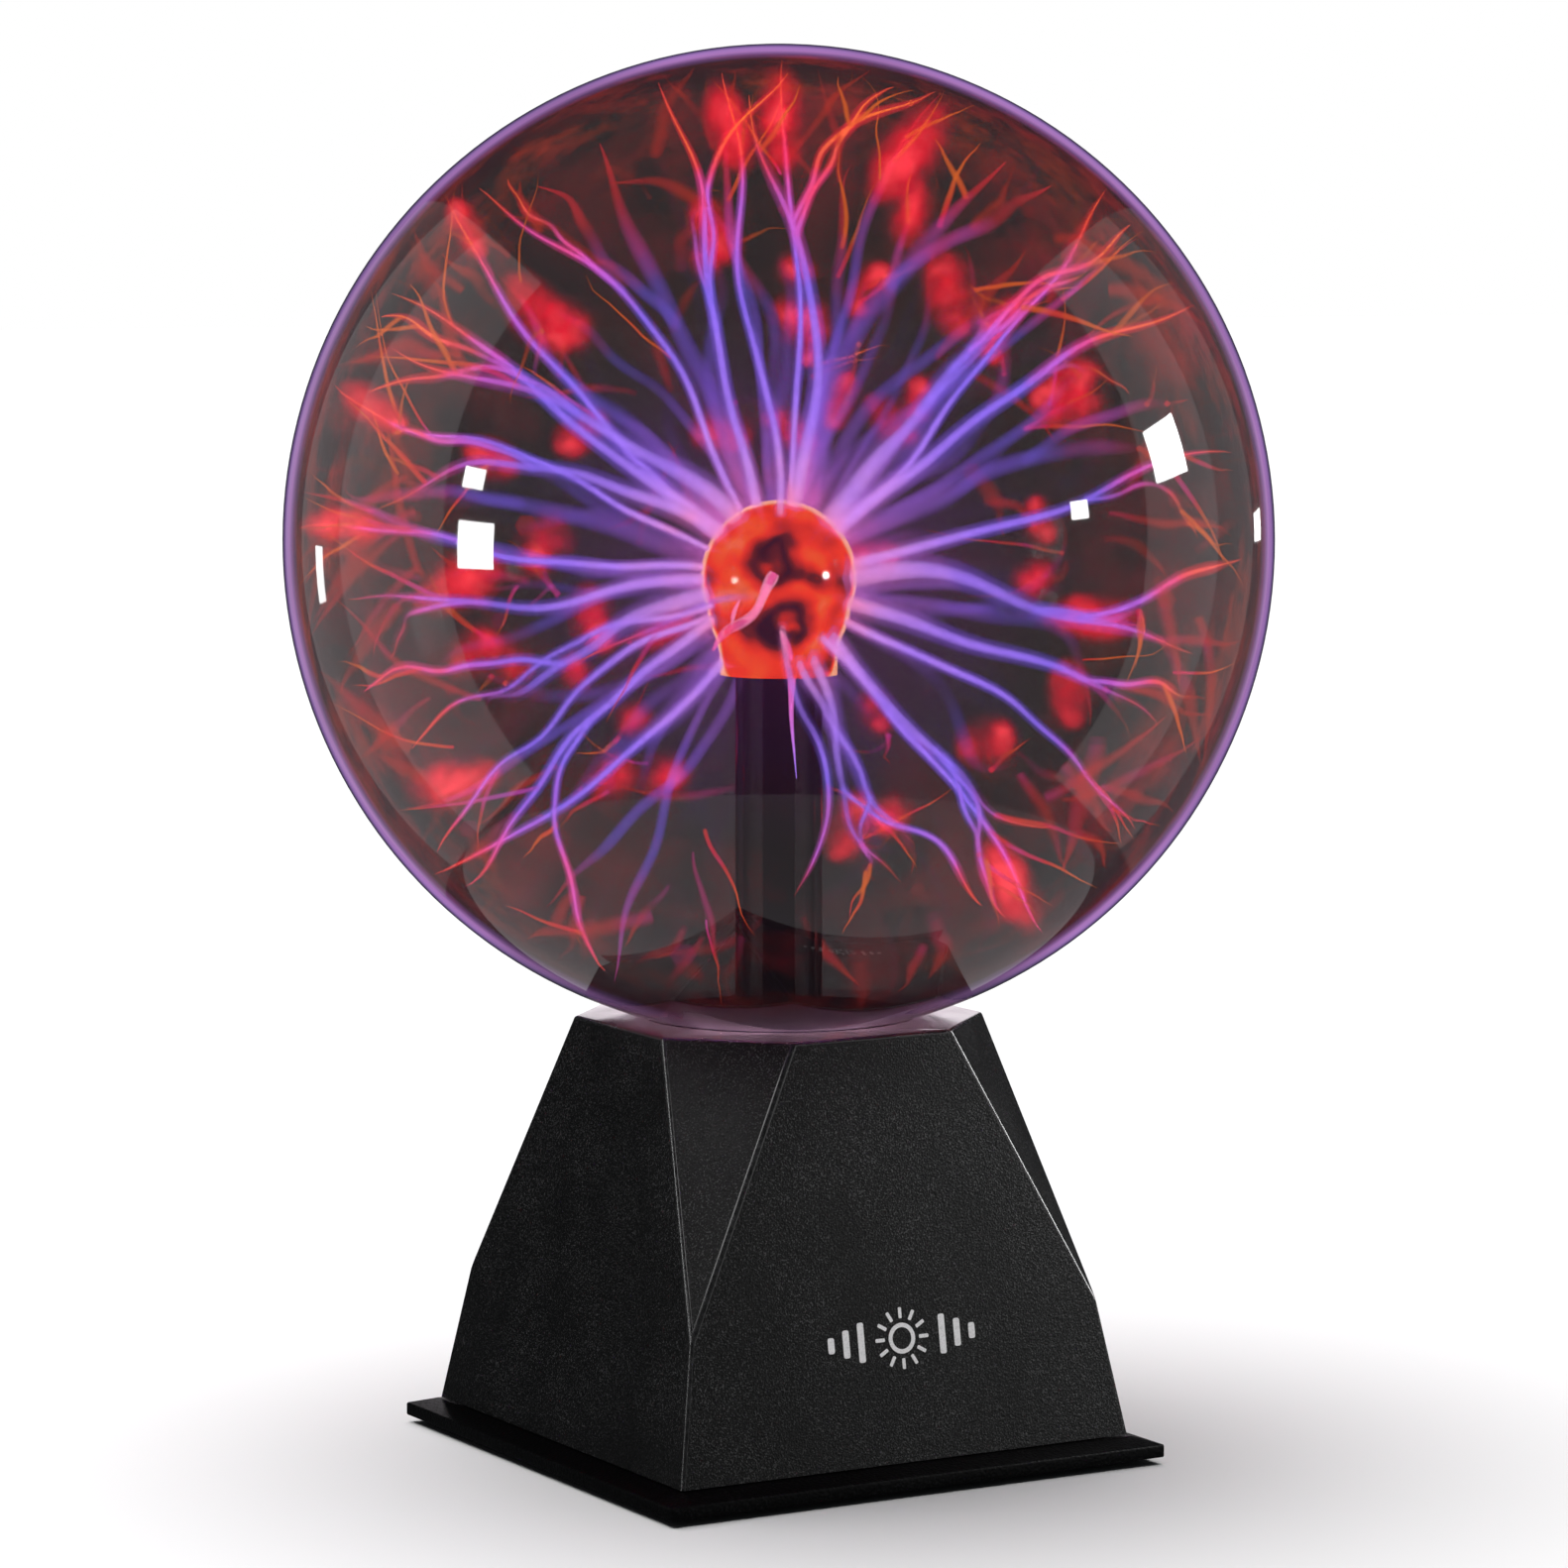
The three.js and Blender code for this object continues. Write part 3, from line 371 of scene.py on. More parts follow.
def globe_glass(name):
    """Glass darkened to near black as painted shade, so the globe's inside looks dark. A violet glow is
    painted on its edge, for the light that runs inside the wall.
    """
    material, tree, shader, place = start_finish(name)
    edge = facing(tree)
    streaks = grain(tree, place, 30 * MM, 3.0)
    # Painted shade: this near-black colour, with the high alpha below, darkens all that is seen through
    # the globe.
    shader.inputs["Base Color"].default_value = (0.006, 0.005, 0.007, 1)
    tree.links.new(spread(tree, streaks, 0.015, 0.05), shader.inputs["Roughness"])
    shader.inputs["IOR"].default_value = 1.47
    # Painted rim glow: violet emission on the glass where it is seen edge-on, for the light that runs
    # inside the wall.
    light = ramp(tree, edge, [
        (0.60, (0.0, 0.0, 0.0)), (0.76, (0.022, 0.004, 0.008)), (0.795, (0.10, 0.04, 0.14)),
        (0.835, (0.37, 0.16, 0.45)), (0.875, (0.34, 0.16, 0.47)), (0.91, (0.14, 0.07, 0.24)),
        (0.94, (0.02, 0.008, 0.04)),
    ])
    tree.links.new(light, shader.inputs["Emission Color"])
    # The painted rim glow is patchy and fades towards the bottom of the globe.
    patches = spread(tree, grain(tree, place, 50 * MM, 2.0), 0.72, 1.12)
    dark_below = GLOBE.z - 0.93 * GLOBE_R
    full_above = GLOBE.z - 0.76 * GLOBE_R
    lift = spread(tree, height_of(tree, place), 0.04, 1.0, dark_below, full_above)
    tree.links.new(maths(tree, "MULTIPLY", patches, lift), shader.inputs["Emission Strength"])
    # The high alpha keeps the painted shade of the dark colour over what lies behind the wall.
    tree.links.new(spread(tree, edge, 0.86, 0.98, 0.6, 0.85), shader.inputs["Alpha"])
    add_bump(tree, shader, [streaks], 0.05, 0.4 * MM)
    material.cycles.emission_sampling = "NONE"
    return material


def inner_wall(name):
    """The inside of the globe, where the streamers fan out in a thin red film."""
    material, tree, shader, place = start_finish(name)
    edge = facing(tree)
    wisps = grain(tree, place, 16 * MM, 4.0, (1, 1, 0.6), 0.65)
    tint = grain(tree, place, 40 * MM, 1.0)
    torn = spread(tree, wisps, 0.0, 1.0, 0.5, 0.72)
    film = maths(tree, "MULTIPLY", torn, maths(tree, "POWER", edge, 2.2))
    colour = ramp(tree, tint, [(0.35, (1.0, 0.02, 0.05)), (0.6, (1.0, 0.09, 0.02))])
    tree.links.new(colour, shader.inputs["Emission Color"])
    faint_below = GLOBE.z - 0.9 * GLOBE_R
    full_above = GLOBE.z - 0.5 * GLOBE_R
    lift = spread(tree, height_of(tree, place), 0.6, 4.6, faint_below, full_above)
    tree.links.new(lift, shader.inputs["Emission Strength"])
    film = maths(tree, "ADD", maths(tree, "MULTIPLY", film, 0.62), 0.004)
    tree.links.new(film, shader.inputs["Alpha"])
    glow_only(material, shader, (0.01, 0.004, 0.008))
    return material


def lit_gas(name, stops, power, density, softness, mottle=0.0):
    """Glowing gas: denser to the eye where more of it lies in line. Colour by distance from the bulb."""
    material, tree, shader, place = start_finish(name)
    reach = spread(tree, distance_from(tree, place, BULB), 0.0, 1.0, BULB_R, INNER_R)
    drift = spread(tree, grain(tree, place, 14 * MM, 2.0), -mottle, mottle)
    colour = ramp(tree, maths(tree, "ADD", reach, drift), stops)
    tree.links.new(colour, shader.inputs["Emission Color"])
    shader.inputs["Emission Strength"].default_value = power
    depth = maths(tree, "POWER", maths(tree, "SUBTRACT", 1.0, facing(tree)), softness)
    tree.links.new(maths(tree, "MULTIPLY", depth, density), shader.inputs["Alpha"])
    glow_only(material, shader)
    return material


def cloud_gas(name):
    """Clouds where a streamer spreads at the glass: pink-hot in the middle, deep red at the edge."""
    material, tree, shader, place = start_finish(name)
    middle = maths(tree, "SUBTRACT", 1.0, facing(tree))
    ragged = maths(tree, "ADD", middle, spread(tree, grain(tree, place, 8 * MM, 2.0), -0.2, 0.06))
    colour = ramp(tree, ragged, [
        (0.3, (0.5, 0.0, 0.05)), (0.7, (0.8, 0.0, 0.03)), (0.86, (1.0, 0.004, 0.03)),
        (0.99, (1.0, 0.05, 0.07)),
    ])
    tree.links.new(colour, shader.inputs["Emission Color"])
    shader.inputs["Emission Strength"].default_value = 10.0
    thick = maths(tree, "POWER", maths(tree, "MAXIMUM", ragged, 0.0), 5.6)
    tree.links.new(maths(tree, "MULTIPLY", thick, 0.5), shader.inputs["Alpha"])
    glow_only(material, shader)
    return material


def smoke_ring(tree, place, centre, radius, width):
    """1 on a soft ring of the given radius round a place on the bulb, and 0 away from it."""
    off = maths(tree, "SUBTRACT", distance_from(tree, place, centre), radius)
    return spread(tree, maths(tree, "ABSOLUTE", off), 1.0, 0.0, 0.0, width)


# Rings of smoke on the wool: place as the viewer sees it, radius and width in mm, and how dark each is.
BULB_SMOKE = [
    ((0.10, -0.60, 0.78), 3.8, 3.8, 0.92),
    ((-0.08, 0.16, 0.95), 3.8, 3.6, 0.68),
    ((0.42, -0.05, 0.8), 1.0, 4.0, 0.62),
]


def lit_bulb(name):
    """The electrode: glowing orange-red, with brown smoke on the wool and a pale line at its outline."""
    material, tree, shader, place = start_finish(name)
    edge = facing(tree)
    clouds = grain(tree, place, 11 * MM, 1.5, (1, 1, 1.2), 0.4)
    wander = spread(tree, grain(tree, place, 6 * MM, 1.0), -1.6 * MM, 1.6 * MM)
    bent = tree.nodes.new("ShaderNodeVectorMath")
    tree.links.new(place, bent.inputs[0])
    tree.links.new(wander, bent.inputs[1])
    smoke = None
    for spot, radius, width, depth in BULB_SMOKE:
        centre = BULB + BULB_R * seen(*spot)
        ring = smoke_ring(tree, bent.outputs["Vector"], centre, radius * MM, width * MM)
        ring = maths(tree, "MULTIPLY", ring, depth)
        smoke = ring if smoke is None else maths(tree, "ADD", smoke, ring)
    bright = spread(tree, clouds, 0.24, 0.74, 0.34, 0.66)
    bright = maths(tree, "SUBTRACT", bright, maths(tree, "MULTIPLY", smoke, clouds))
    outline = maths(tree, "ADD", bright, spread(tree, edge, 0.0, 0.75, 0.62, 0.80))
    colour = ramp(tree, outline, [
        (0.08, (0.012, 0.004, 0.0006)), (0.24, (0.13, 0.014, 0.002)), (0.38, (0.62, 0.026, 0.004)),
        (0.55, (1.0, 0.045, 0.006)), (0.70, (1.0, 0.10, 0.012)), (1.0, (1.0, 0.42, 0.24)),
    ])
    tree.links.new(colour, shader.inputs["Emission Color"])
    shader.inputs["Emission Strength"].default_value = 6.0
    shader.inputs["Base Color"].default_value = (0.05, 0.004, 0.002, 1)
    shader.inputs["Roughness"].default_value = 0.08
    fibres = grain(tree, place, 2.2 * MM, 3.0)
    add_bump(tree, shader, [fibres], 0.03, 0.05 * MM)
    material.cycles.emission_sampling = "NONE"
    return material


def clear_tube(name):
    """The stem's thin glass, darker and more opaque towards its outline, where it is seen edge-on."""
    material, tree, shader, place = start_finish(name)
    soot = grain(tree, place, 7 * MM, 3.0)
    shader.inputs["Base Color"].default_value = (0.012, 0.008, 0.014, 1)
    tree.links.new(spread(tree, soot, 0.05, 0.16), shader.inputs["Roughness"])
    tree.links.new(spread(tree, facing(tree), 0.22, 0.85), shader.inputs["Alpha"])
    return material


# ---- Shapes


def piece_from(bm, name, material, stands_for=(), smooth=None):
    """smooth: the angle in degrees past which an edge stays sharp."""
    mesh = bpy.data.meshes.new(name)
    bm.to_mesh(mesh)
    bm.free()
    mesh.materials.append(material)
    if smooth is not None:
        mesh.shade_smooth()
        mesh.set_sharp_from_angle(angle=math.radians(smooth))
    piece = bpy.data.objects.new(name, mesh)
    bpy.context.scene.collection.objects.link(piece)
    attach(piece, BODY)
    if stands_for:
        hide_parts(*stands_for)
    return piece


def swept_arc(bm, start, centre, degrees, steps):
    """An arc in the XZ plane, from start round centre. Returns its last vertex."""
    first = bm.verts.new(start)
    drawn = bmesh.ops.spin(bm, geom=[first], cent=centre, axis=(0, 1, 0), dvec=(0, 0, 0),
                           angle=math.radians(degrees), steps=steps, use_duplicate=False)
    return [v for v in drawn["geom_last"] if isinstance(v, bmesh.types.BMVert)][0]


def line_on(bm, last, corner):
    """Extrudes a vertex to a corner, given as radius and height."""
    moved = bmesh.ops.extrude_vert_indiv(bm, verts=[last])["verts"][0]
    moved.co = (corner[0], 0, corner[1])
    return moved


def turn_round(bm, steps):
    """Turns a drawn line into a closed round shape."""
    bmesh.ops.spin(bm, geom=bm.verts[:] + bm.edges[:], cent=(0, 0, 0), axis=(0, 0, 1), dvec=(0, 0, 0),
                   angle=math.tau, steps=steps, use_merge=True)
    bmesh.ops.remove_doubles(bm, verts=bm.verts[:], dist=WELD)
    bmesh.ops.recalc_face_normals(bm, faces=bm.faces[:])


def add_wall(piece, thickness, inner_slot=0):
    """Gives a skin its thickness, inwards."""
    wall = piece.modifiers.new("wall", "SOLIDIFY")
    wall.thickness = thickness
    wall.offset = -1
    wall.use_even_offset = True
    wall.material_offset = inner_slot
    wall.material_offset_rim = 0


def blown_globe():
    """The globe and its neck, with the lit film on the inside."""
    bm = bmesh.new()
    below = 180 - math.degrees(math.asin(NECK_R / GLOBE_R))
    last = swept_arc(bm, GLOBE + Vector((0, 0, GLOBE_R)), GLOBE, below, 84)
    last = line_on(bm, last, (NECK_R, DECK_Z - NECK_STEP))
    line_on(bm, last, (NECK_R, NECK_BOTTOM))
    turn_round(bm, 168)
    globe = piece_from(bm, "globe", globe_glass("shade_darkened_globe_glass"), ["glass_globe"], 60)
    globe.data.materials.append(inner_wall("lit_inner_wall"))
    add_wall(globe, GLOBE_WALL, 1)
    return globe


def blown_bulb():
    """The electrode's bulb: round above, and drawn in below to its open mouth."""
    bm = bmesh.new()
    last = swept_arc(bm, BULB + Vector((0, 0, BULB_R)), BULB, 112, 30)
    for radius, drop in ((0.895, 0.56), (0.85, 0.68), (0.80, 0.8), (0.76, 0.97)):
        last = line_on(bm, last, (radius * BULB_R, BULB.z - BULB_R * drop))
    line_on(bm, last, (BULB_MOUTH_R, bulb_low.z))
    turn_round(bm, 72)
    bulb = piece_from(bm, "bulb", lit_bulb("lit_electrode"), ["electrode_bulb"], 60)
    add_wall(bulb, BULB_WALL)
    return bulb


def merged_copy(node):
    """A node's own solid with its loose triangles joined and its flat sides made whole."""
    bm = bmesh.new()
    bm.from_mesh(nodes[node].data)
    bmesh.ops.remove_doubles(bm, verts=bm.verts[:], dist=WELD)
    flat = math.radians(0.4)
    bmesh.ops.dissolve_limit(bm, angle_limit=flat, verts=bm.verts[:], edges=bm.edges[:])
    return bm


def round_edges(bm, wanted, width, segments):
    """Rounds the wanted edges, and returns what the bevel made."""
    edges = [e for e in bm.edges if len(e.link_faces) == 2 and wanted(e)]
    return bmesh.ops.bevel(bm, geom=edges, offset=width, offset_type="OFFSET", segments=segments,
                           profile=0.5, affect="EDGES", clamp_overlap=True, material=-1)


def outside_corner(v):
    """One of the sixteen corners of the housing's outside: on the deck, at an apex or at the foot."""
    near = 0.15 * MM
    small, large = sorted((abs(v.co.x), abs(v.co.y)))
    if abs(v.co.z - DECK_Z) < near:
        return abs(large - TOP_HALF) < near and abs(small - TOP_EDGE_HALF) < near
    if abs(v.co.z - APEX_Z) < near:
        return small > BASE_HALF - 6 * MM
    return abs(v.co.z - FOOT_Z) < near and small > BASE_HALF - near


def moulded_housing():
    """The housing, with its rounded ridges glossy and painted lighter as highlight, and a polished deck.
    """
    bm = merged_copy("housing")

    def ridge(e):
        on_foot = all(abs(v.co.z - FOOT_Z) < MM for v in e.verts)
        return all(outside_corner(v) for v in e.verts) and not on_foot

    deck_slot, ridge_slot = 1, 2
    for face in round_edges(bm, ridge, 0.7 * MM, 5)["faces"]:
        face.material_index = ridge_slot
    housing = piece_from(bm, "housing_shell", FINISHES["housing"], ["housing"], 24)
    # The deck's lighter, pink-tinted tone is painted pink glow from the globe.
    housing.data.materials.append(polished_plastic("polished_deck", (0.05, 0.04, 0.046), 0.10, 0.9))
    # The edge finish carries the painted highlight on the rounded ridges.
    housing.data.materials.append(highlighted_edge("edge_highlight"))
    for polygon in housing.data.polygons:
        if polygon.normal.z > 0.9 and polygon.center.z > DECK_Z - DECK_THICKNESS:
            polygon.material_index = deck_slot
    return housing


def moulded_plate():
    """The foot plate, with its outer rim eased."""
    bm = merged_copy("base_plate")

    def rim_edge(e):
        far = all(max(abs(v.co.x), abs(v.co.y)) > BASE_HALF + 4 * MM for v in e.verts)
        return far and e.calc_face_angle(0) > 0.3

    round_edges(bm, rim_edge, 0.35 * MM, 3)
    return piece_from(bm, "plate", FINISHES["base_plate"], ["base_plate"], 24)


def smoothed(node, name, material, width=0.0, segments=2, sharp=30):
    """A node's solid with its round sides shaded round, and its sharp edges eased by width."""
    bm = merged_copy(node)
    if width:
        round_edges(bm, lambda e: e.calc_face_angle(0) > 0.6, width, segments)
    return piece_from(bm, name, material, [node], sharp)


def on_wall(side, right, up, out):
    """A place on the sloping front (side -1) or rear (side 1) wall, as its onlooker sees it."""
    face = BASE_HALF - CONTROL_HEIGHT * math.tan(WALL_SLOPE)
    tilt = Matrix.Rotation(math.pi / 2 - WALL_SLOPE, 4, "X")
    turn = Matrix.Rotation(math.pi if side > 0 else 0, 4, "Z")
    middle = Matrix.Translation((0, -face, FOOT_Z + CONTROL_HEIGHT))
    return turn @ middle @ tilt @ Matrix.Translation((right, up, out))


def flat_bar(bm, right, up, width, height, degrees=0.0):
    """A flat bar with round corners, turned about the print's middle."""
    turn = Matrix.Rotation(math.radians(degrees), 4, "Z")
    place = turn @ Matrix.Translation((right, up, 0)) @ Matrix.Diagonal((width, height, 1, 1))
    bar = bmesh.ops.create_grid(bm, x_segments=1, y_segments=1, size=0.5, matrix=place)
    corner = min(width, height) * 0.3
    bmesh.ops.bevel(bm, geom=bar["verts"], offset=corner, offset_type="OFFSET", segments=3,
                    profile=0.5, affect="VERTICES", clamp_overlap=True, material=-1)


def flat_ring(bm, right, up, outer, inner):
    """A flat ring between two radii."""
    place = Matrix.Translation((right, up, 0))
    edges = []
    for radius in (outer, inner):
        loop = bmesh.ops.create_circle(bm, cap_ends=False, segments=40, radius=radius, matrix=place)
        edges += list({e for v in loop["verts"] for e in v.link_edges})
    bmesh.ops.bridge_loops(bm, edges=edges)


def printed(bm, name, place):
    """Lays a flat print on a wall, as a skin of ink."""
    for face in bm.faces:
        if face.normal.z < 0:
            face.normal_flip()
    bm.transform(place)
    ink = piece_from(bm, name, INK)
    skin = ink.modifiers.new("skin", "SOLIDIFY")
    skin.thickness = 0.05 * MM
    skin.offset = 1
    return ink


def front_mark():
    """A plain spark: a ring with twelve rays, between bars that fall away to the sides."""
    bm = bmesh.new()
    flat_ring(bm, 0, 0, 3.1 * MM, 2.2 * MM)
    for ray in range(12):
        flat_bar(bm, 0, 5.1 * MM, 0.75 * MM, 2.2 * MM, ray * 30)
    for aside, tall in ((9.5, 8.0), (13.0, 5.6), (16.5, 3.2)):
        for side in (-1, 1):
            flat_bar(bm, side * aside * MM, 0, 1.5 * MM, tall * MM)
    return printed(bm, "front_mark", on_wall(-1, 0.5 * MM, 3.5 * MM, PRINT_LIFT))


def switch_marks():
    """One, ring and two bars beside the three positions of the rocker."""
    bm = bmesh.new()
    beside = SWITCH_RIGHT + 11 * MM
    flat_bar(bm, beside, 6 * MM, 0.5 * MM, 2.4 * MM)
    flat_ring(bm, beside, 0, 1.3 * MM, 0.85 * MM)
    flat_bar(bm, beside - 0.6 * MM, -6 * MM, 0.5 * MM, 2.4 * MM)
    flat_bar(bm, beside + 0.6 * MM, -6 * MM, 0.5 * MM, 2.4 * MM)
    return printed(bm, "switch_marks", on_wall(1, 0, 0, PRINT_LIFT))


# ---- Streamers

ROOT_REACH = BULB_R * 0.86
TIP_REACH = INNER_R - 1.2 * MM
GLASS_GAP = 0.5 * MM  # room between the gas and the glass
STRAYS = 22
WISPS = 130
TWIG_EVERY = 9  # one wisp in so many is a bright twig, and the others are soft films


def middle_way(heading, t):
    """The place at share t of the way from the bulb to the glass, along a heading."""
    hub = BULB.lerp(GLOBE, t)
    return hub + heading * (ROOT_REACH + (TIP_REACH - ROOT_REACH) * t)


def grow(dice, begin, end, start=0.0, origin=None, sway=4 * MM, steps=34):
    """One strand from the bulb, or from a fork at share start, out to the glass."""
    across = end.orthogonal().normalized()
    other = end.cross(across).normalized()
    waves = []
    for turns, size in ((0.6, 1.0), (1.4, 0.36), (3.1, 0.11)):
        turns *= dice.uniform(0.8, 1.25)
        phase = dice.uniform(0, math.tau)
        other_phase = dice.uniform(0, math.tau)
        waves.append((turns, phase, other_phase, size))
    offset = origin - middle_way(begin, start) if origin is not None else Vector((0, 0, 0))
    strand = []
    for i in range(steps + 1):
        s = i / steps
        t = start + (1 - start) * s
        heading = begin.slerp(end, s ** 1.15)
        swing = Vector((0, 0, 0))
        for turns, phase, other_phase, size in waves:
            swing += across * (math.sin(turns * math.tau * s + phase) - math.sin(phase)) * size
            swing += other * (math.sin(turns * math.tau * s + other_phase) - math.sin(other_phase)) * size
        place = middle_way(heading, t) + swing * sway * (s ** 0.7) + offset * (1 - s)
        out = place - GLOBE
        if out.length > TIP_REACH:
            place = GLOBE + out.normalized() * TIP_REACH
        strand.append((t, place, heading))
    return strand


def thickness(strand, stops, fade=0.12):
    """Places and radii. stops: radii in mm at shares of the way out. fade: the share that tapers off."""
    sized = []
    count = len(strand) - 1
    for i, (t, place, _) in enumerate(strand):
        end = min(1.0, (1 - i / count) / fade + 0.05)
        for (t0, r0), (t1, r1) in zip(stops, stops[1:]):
            if t0 <= t <= t1 + 1e-6:
                radius = r0 + (r1 - r0) * (t - t0) / (t1 - t0)
        radius *= end * MM
        out = place - GLOBE
        room = INNER_R - radius - GLASS_GAP
        if out.length > room:
            place = GLOBE + out.normalized() * room
        sized.append((place, radius))
    return sized


def eased(knots):
    """A line of places and radii with its corners cut, so that it bends more gently."""
    line = [knots[0]]
    for (place, radius), (next_place, next_radius) in zip(knots, knots[1:]):
        for share in (0.25, 0.75):
            line.append((place.lerp(next_place, share), radius + (next_radius - radius) * share))
    return line + [knots[-1]]


def as_tubes(name, strands, material, sides=1):
    """Round tubes of changing radius, one for each strand, made one mesh."""
    curve = bpy.data.curves.new(name + "_line", "CURVE")
    curve.dimensions = "3D"
    curve.bevel_depth = 1.0
    curve.bevel_resolution = sides
    curve.use_fill_caps = True
    for strand in strands:
        spline = curve.splines.new("POLY")
        spline.points.add(len(strand) - 1)
        for point, (place, radius) in zip(spline.points, strand):
            point.co = (*place, 1)
            point.radius = radius
    drawn = bpy.data.objects.new(name + "_line", curve)
    bpy.context.scene.collection.objects.link(drawn)
    depsgraph = bpy.context.evaluated_depsgraph_get()
    mesh = bpy.data.meshes.new_from_object(drawn.evaluated_get(depsgraph))
    bpy.data.objects.remove(drawn)
    mesh.name = name
    mesh.materials.clear()
    mesh.materials.append(material)
    piece = bpy.data.objects.new(name, mesh)
    bpy.context.scene.collection.objects.link(piece)
    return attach(piece, BODY)


# Trunks: where each leaves the bulb and meets the glass, as clock and lean, how stout it is, and its forks
# as share of the way, clock and lean.
TRUNKS = [
    (12, 72, 2, 66, 1.3, [(0.66, 10, 73), (0.7, 20, 70)]),
    (-17, 76, -14, 69, 0.9, [(0.5, 1, 66), (0.45, -17, 46)]),
    (-19, 104, -30, 113, 1.5, [(0.5, -37, 108)]),
    (-30, 80, -38, 70, 0.5, [(0.6, -34, 66)]),
    (-52, 75, -58, 62, 1.1, [(0.45, -51, 42), (0.6, -63, 70)]),
    (-36, 70, -62, 58, 1.6, [(0.5, -70, 64)]),
    (-54, 72, -83, 58, 1.3, [(0.55, -76, 50)]),
    (-45, 112, -38, 138, 1.5, []),
    (15, 104, 25, 104, 1.9, [(0.6, 34, 101)]),
    (43, 78, 52, 50, 1.9, [(0.4, 42, 40), (0.5, 42, 56), (0.6, 45, 68)]),
    (51, 80, 57, 70, 1.3, [(0.55, 71, 44)]),
    (62, 100, 78, 118, 1.3, [(0.5, 66, 110)]),
    (80, 84, 86, 66, 0.9, [(0.6, 92, 60)]),
    (90, 74, 99, 58, 1.9, [(0.55, 112, 50), (0.65, 94, 70)]),
    (110, 76, 121, 52, 1.3, [(0.6, 114, 62)]),
    (139, 72, 134, 60, 1.2, [(0.5, 145, 52), (0.55, 146, 66)]),
    (124, 80, 132, 66, 0.6, []),
    (158, 70, 156, 44, 0.9, [(0.55, 151, 56)]),
    (168, 66, 162, 40, 0.7, [(0.6, 168, 52)]),
    (-104, 74, -120, 44, 1.5, [(0.5, -112, 60)]),
    (-92, 80, -96, 60, 1.0, [(0.6, -104, 52)]),
    (-76, 104, -88, 120, 1.3, [(0.5, -78, 112)]),
    (-123, 76, -134, 68, 0.9, [(0.45, -153, 68)]),
    (-120, 90, -129, 72, 0.5, []),
    (-140, 100, -146, 122, 0.9, []),
    (176, 40, 181, 46, 0.6, []),
    (-132, 20, -136, 26, 0.8, []),
]

# Where the streamers behind the bulb meet the glass: clock, and the share of the globe's radius.
SPOTS = [
    (-5, 0.75), (-16, 0.70), (-39, 0.78), (-37, 0.68), (-38, 0.42), (-10, 0.32), (-67, 0.70), (-82, 0.62),
    (-85, 0.48), (-52, 0.66), (24, 0.27), (33, 0.40), (23, 0.68), (12, 0.57), (2, 0.56), (37, 0.70),
    (40, 0.82), (40, 0.50), (47, 0.66), (80, 0.25), (87, 0.50), (68, 0.83), (52, 0.76), (-119, 0.72),
    (-141, 0.50), (-156, 0.61), (-137, 0.78), (-103, 0.47), (-115, 0.30), (154, 0.70), (161, 0.72),
    (150, 0.53), (125, 0.64), (113, 0.75), (109, 0.66), (-98, 0.80), (100, 0.86), (18, 0.88),
]


# Gas that licks over the front of the bulb: clock, lean, reach in bulb radii and radius in mm.
FRONT_LICKS = [
    [(-68, 3, 1.06, 1.2), (-120, 6, 1.07, 1.5), (-136, 12, 1.08, 1.2), (-145, 20, 1.08, 1.0),
     (-148, 28, 1.09, 1.0), (-146, 36, 1.09, 1.1), (-142, 44, 1.10, 1.2), (-138, 52, 1.11, 1.2),
     (-136, 60, 1.12, 1.1), (-136, 70, 1.16, 0.9), (-138, 78, 1.28, 0.3)],
    [(-136, 52, 1.08, 0.2), (-134, 48, 1.10, 0.5), (-130, 43, 1.10, 0.6), (-126, 37, 1.10, 0.45),
     (-122, 32, 1.09, 0.1)],
    [(178, 41, 1.05, 0.4), (175, 48, 1.09, 1.0), (173, 55, 1.13, 1.1), (172, 61, 1.20, 1.1),
     (172, 66, 1.32, 1.0), (173, 69, 1.46, 0.9), (174, 71, 1.62, 0.7), (175, 72, 1.9, 0.5),
     (175, 73, 2.3, 0.3), (175, 73, 2.7, 0.1)],
]


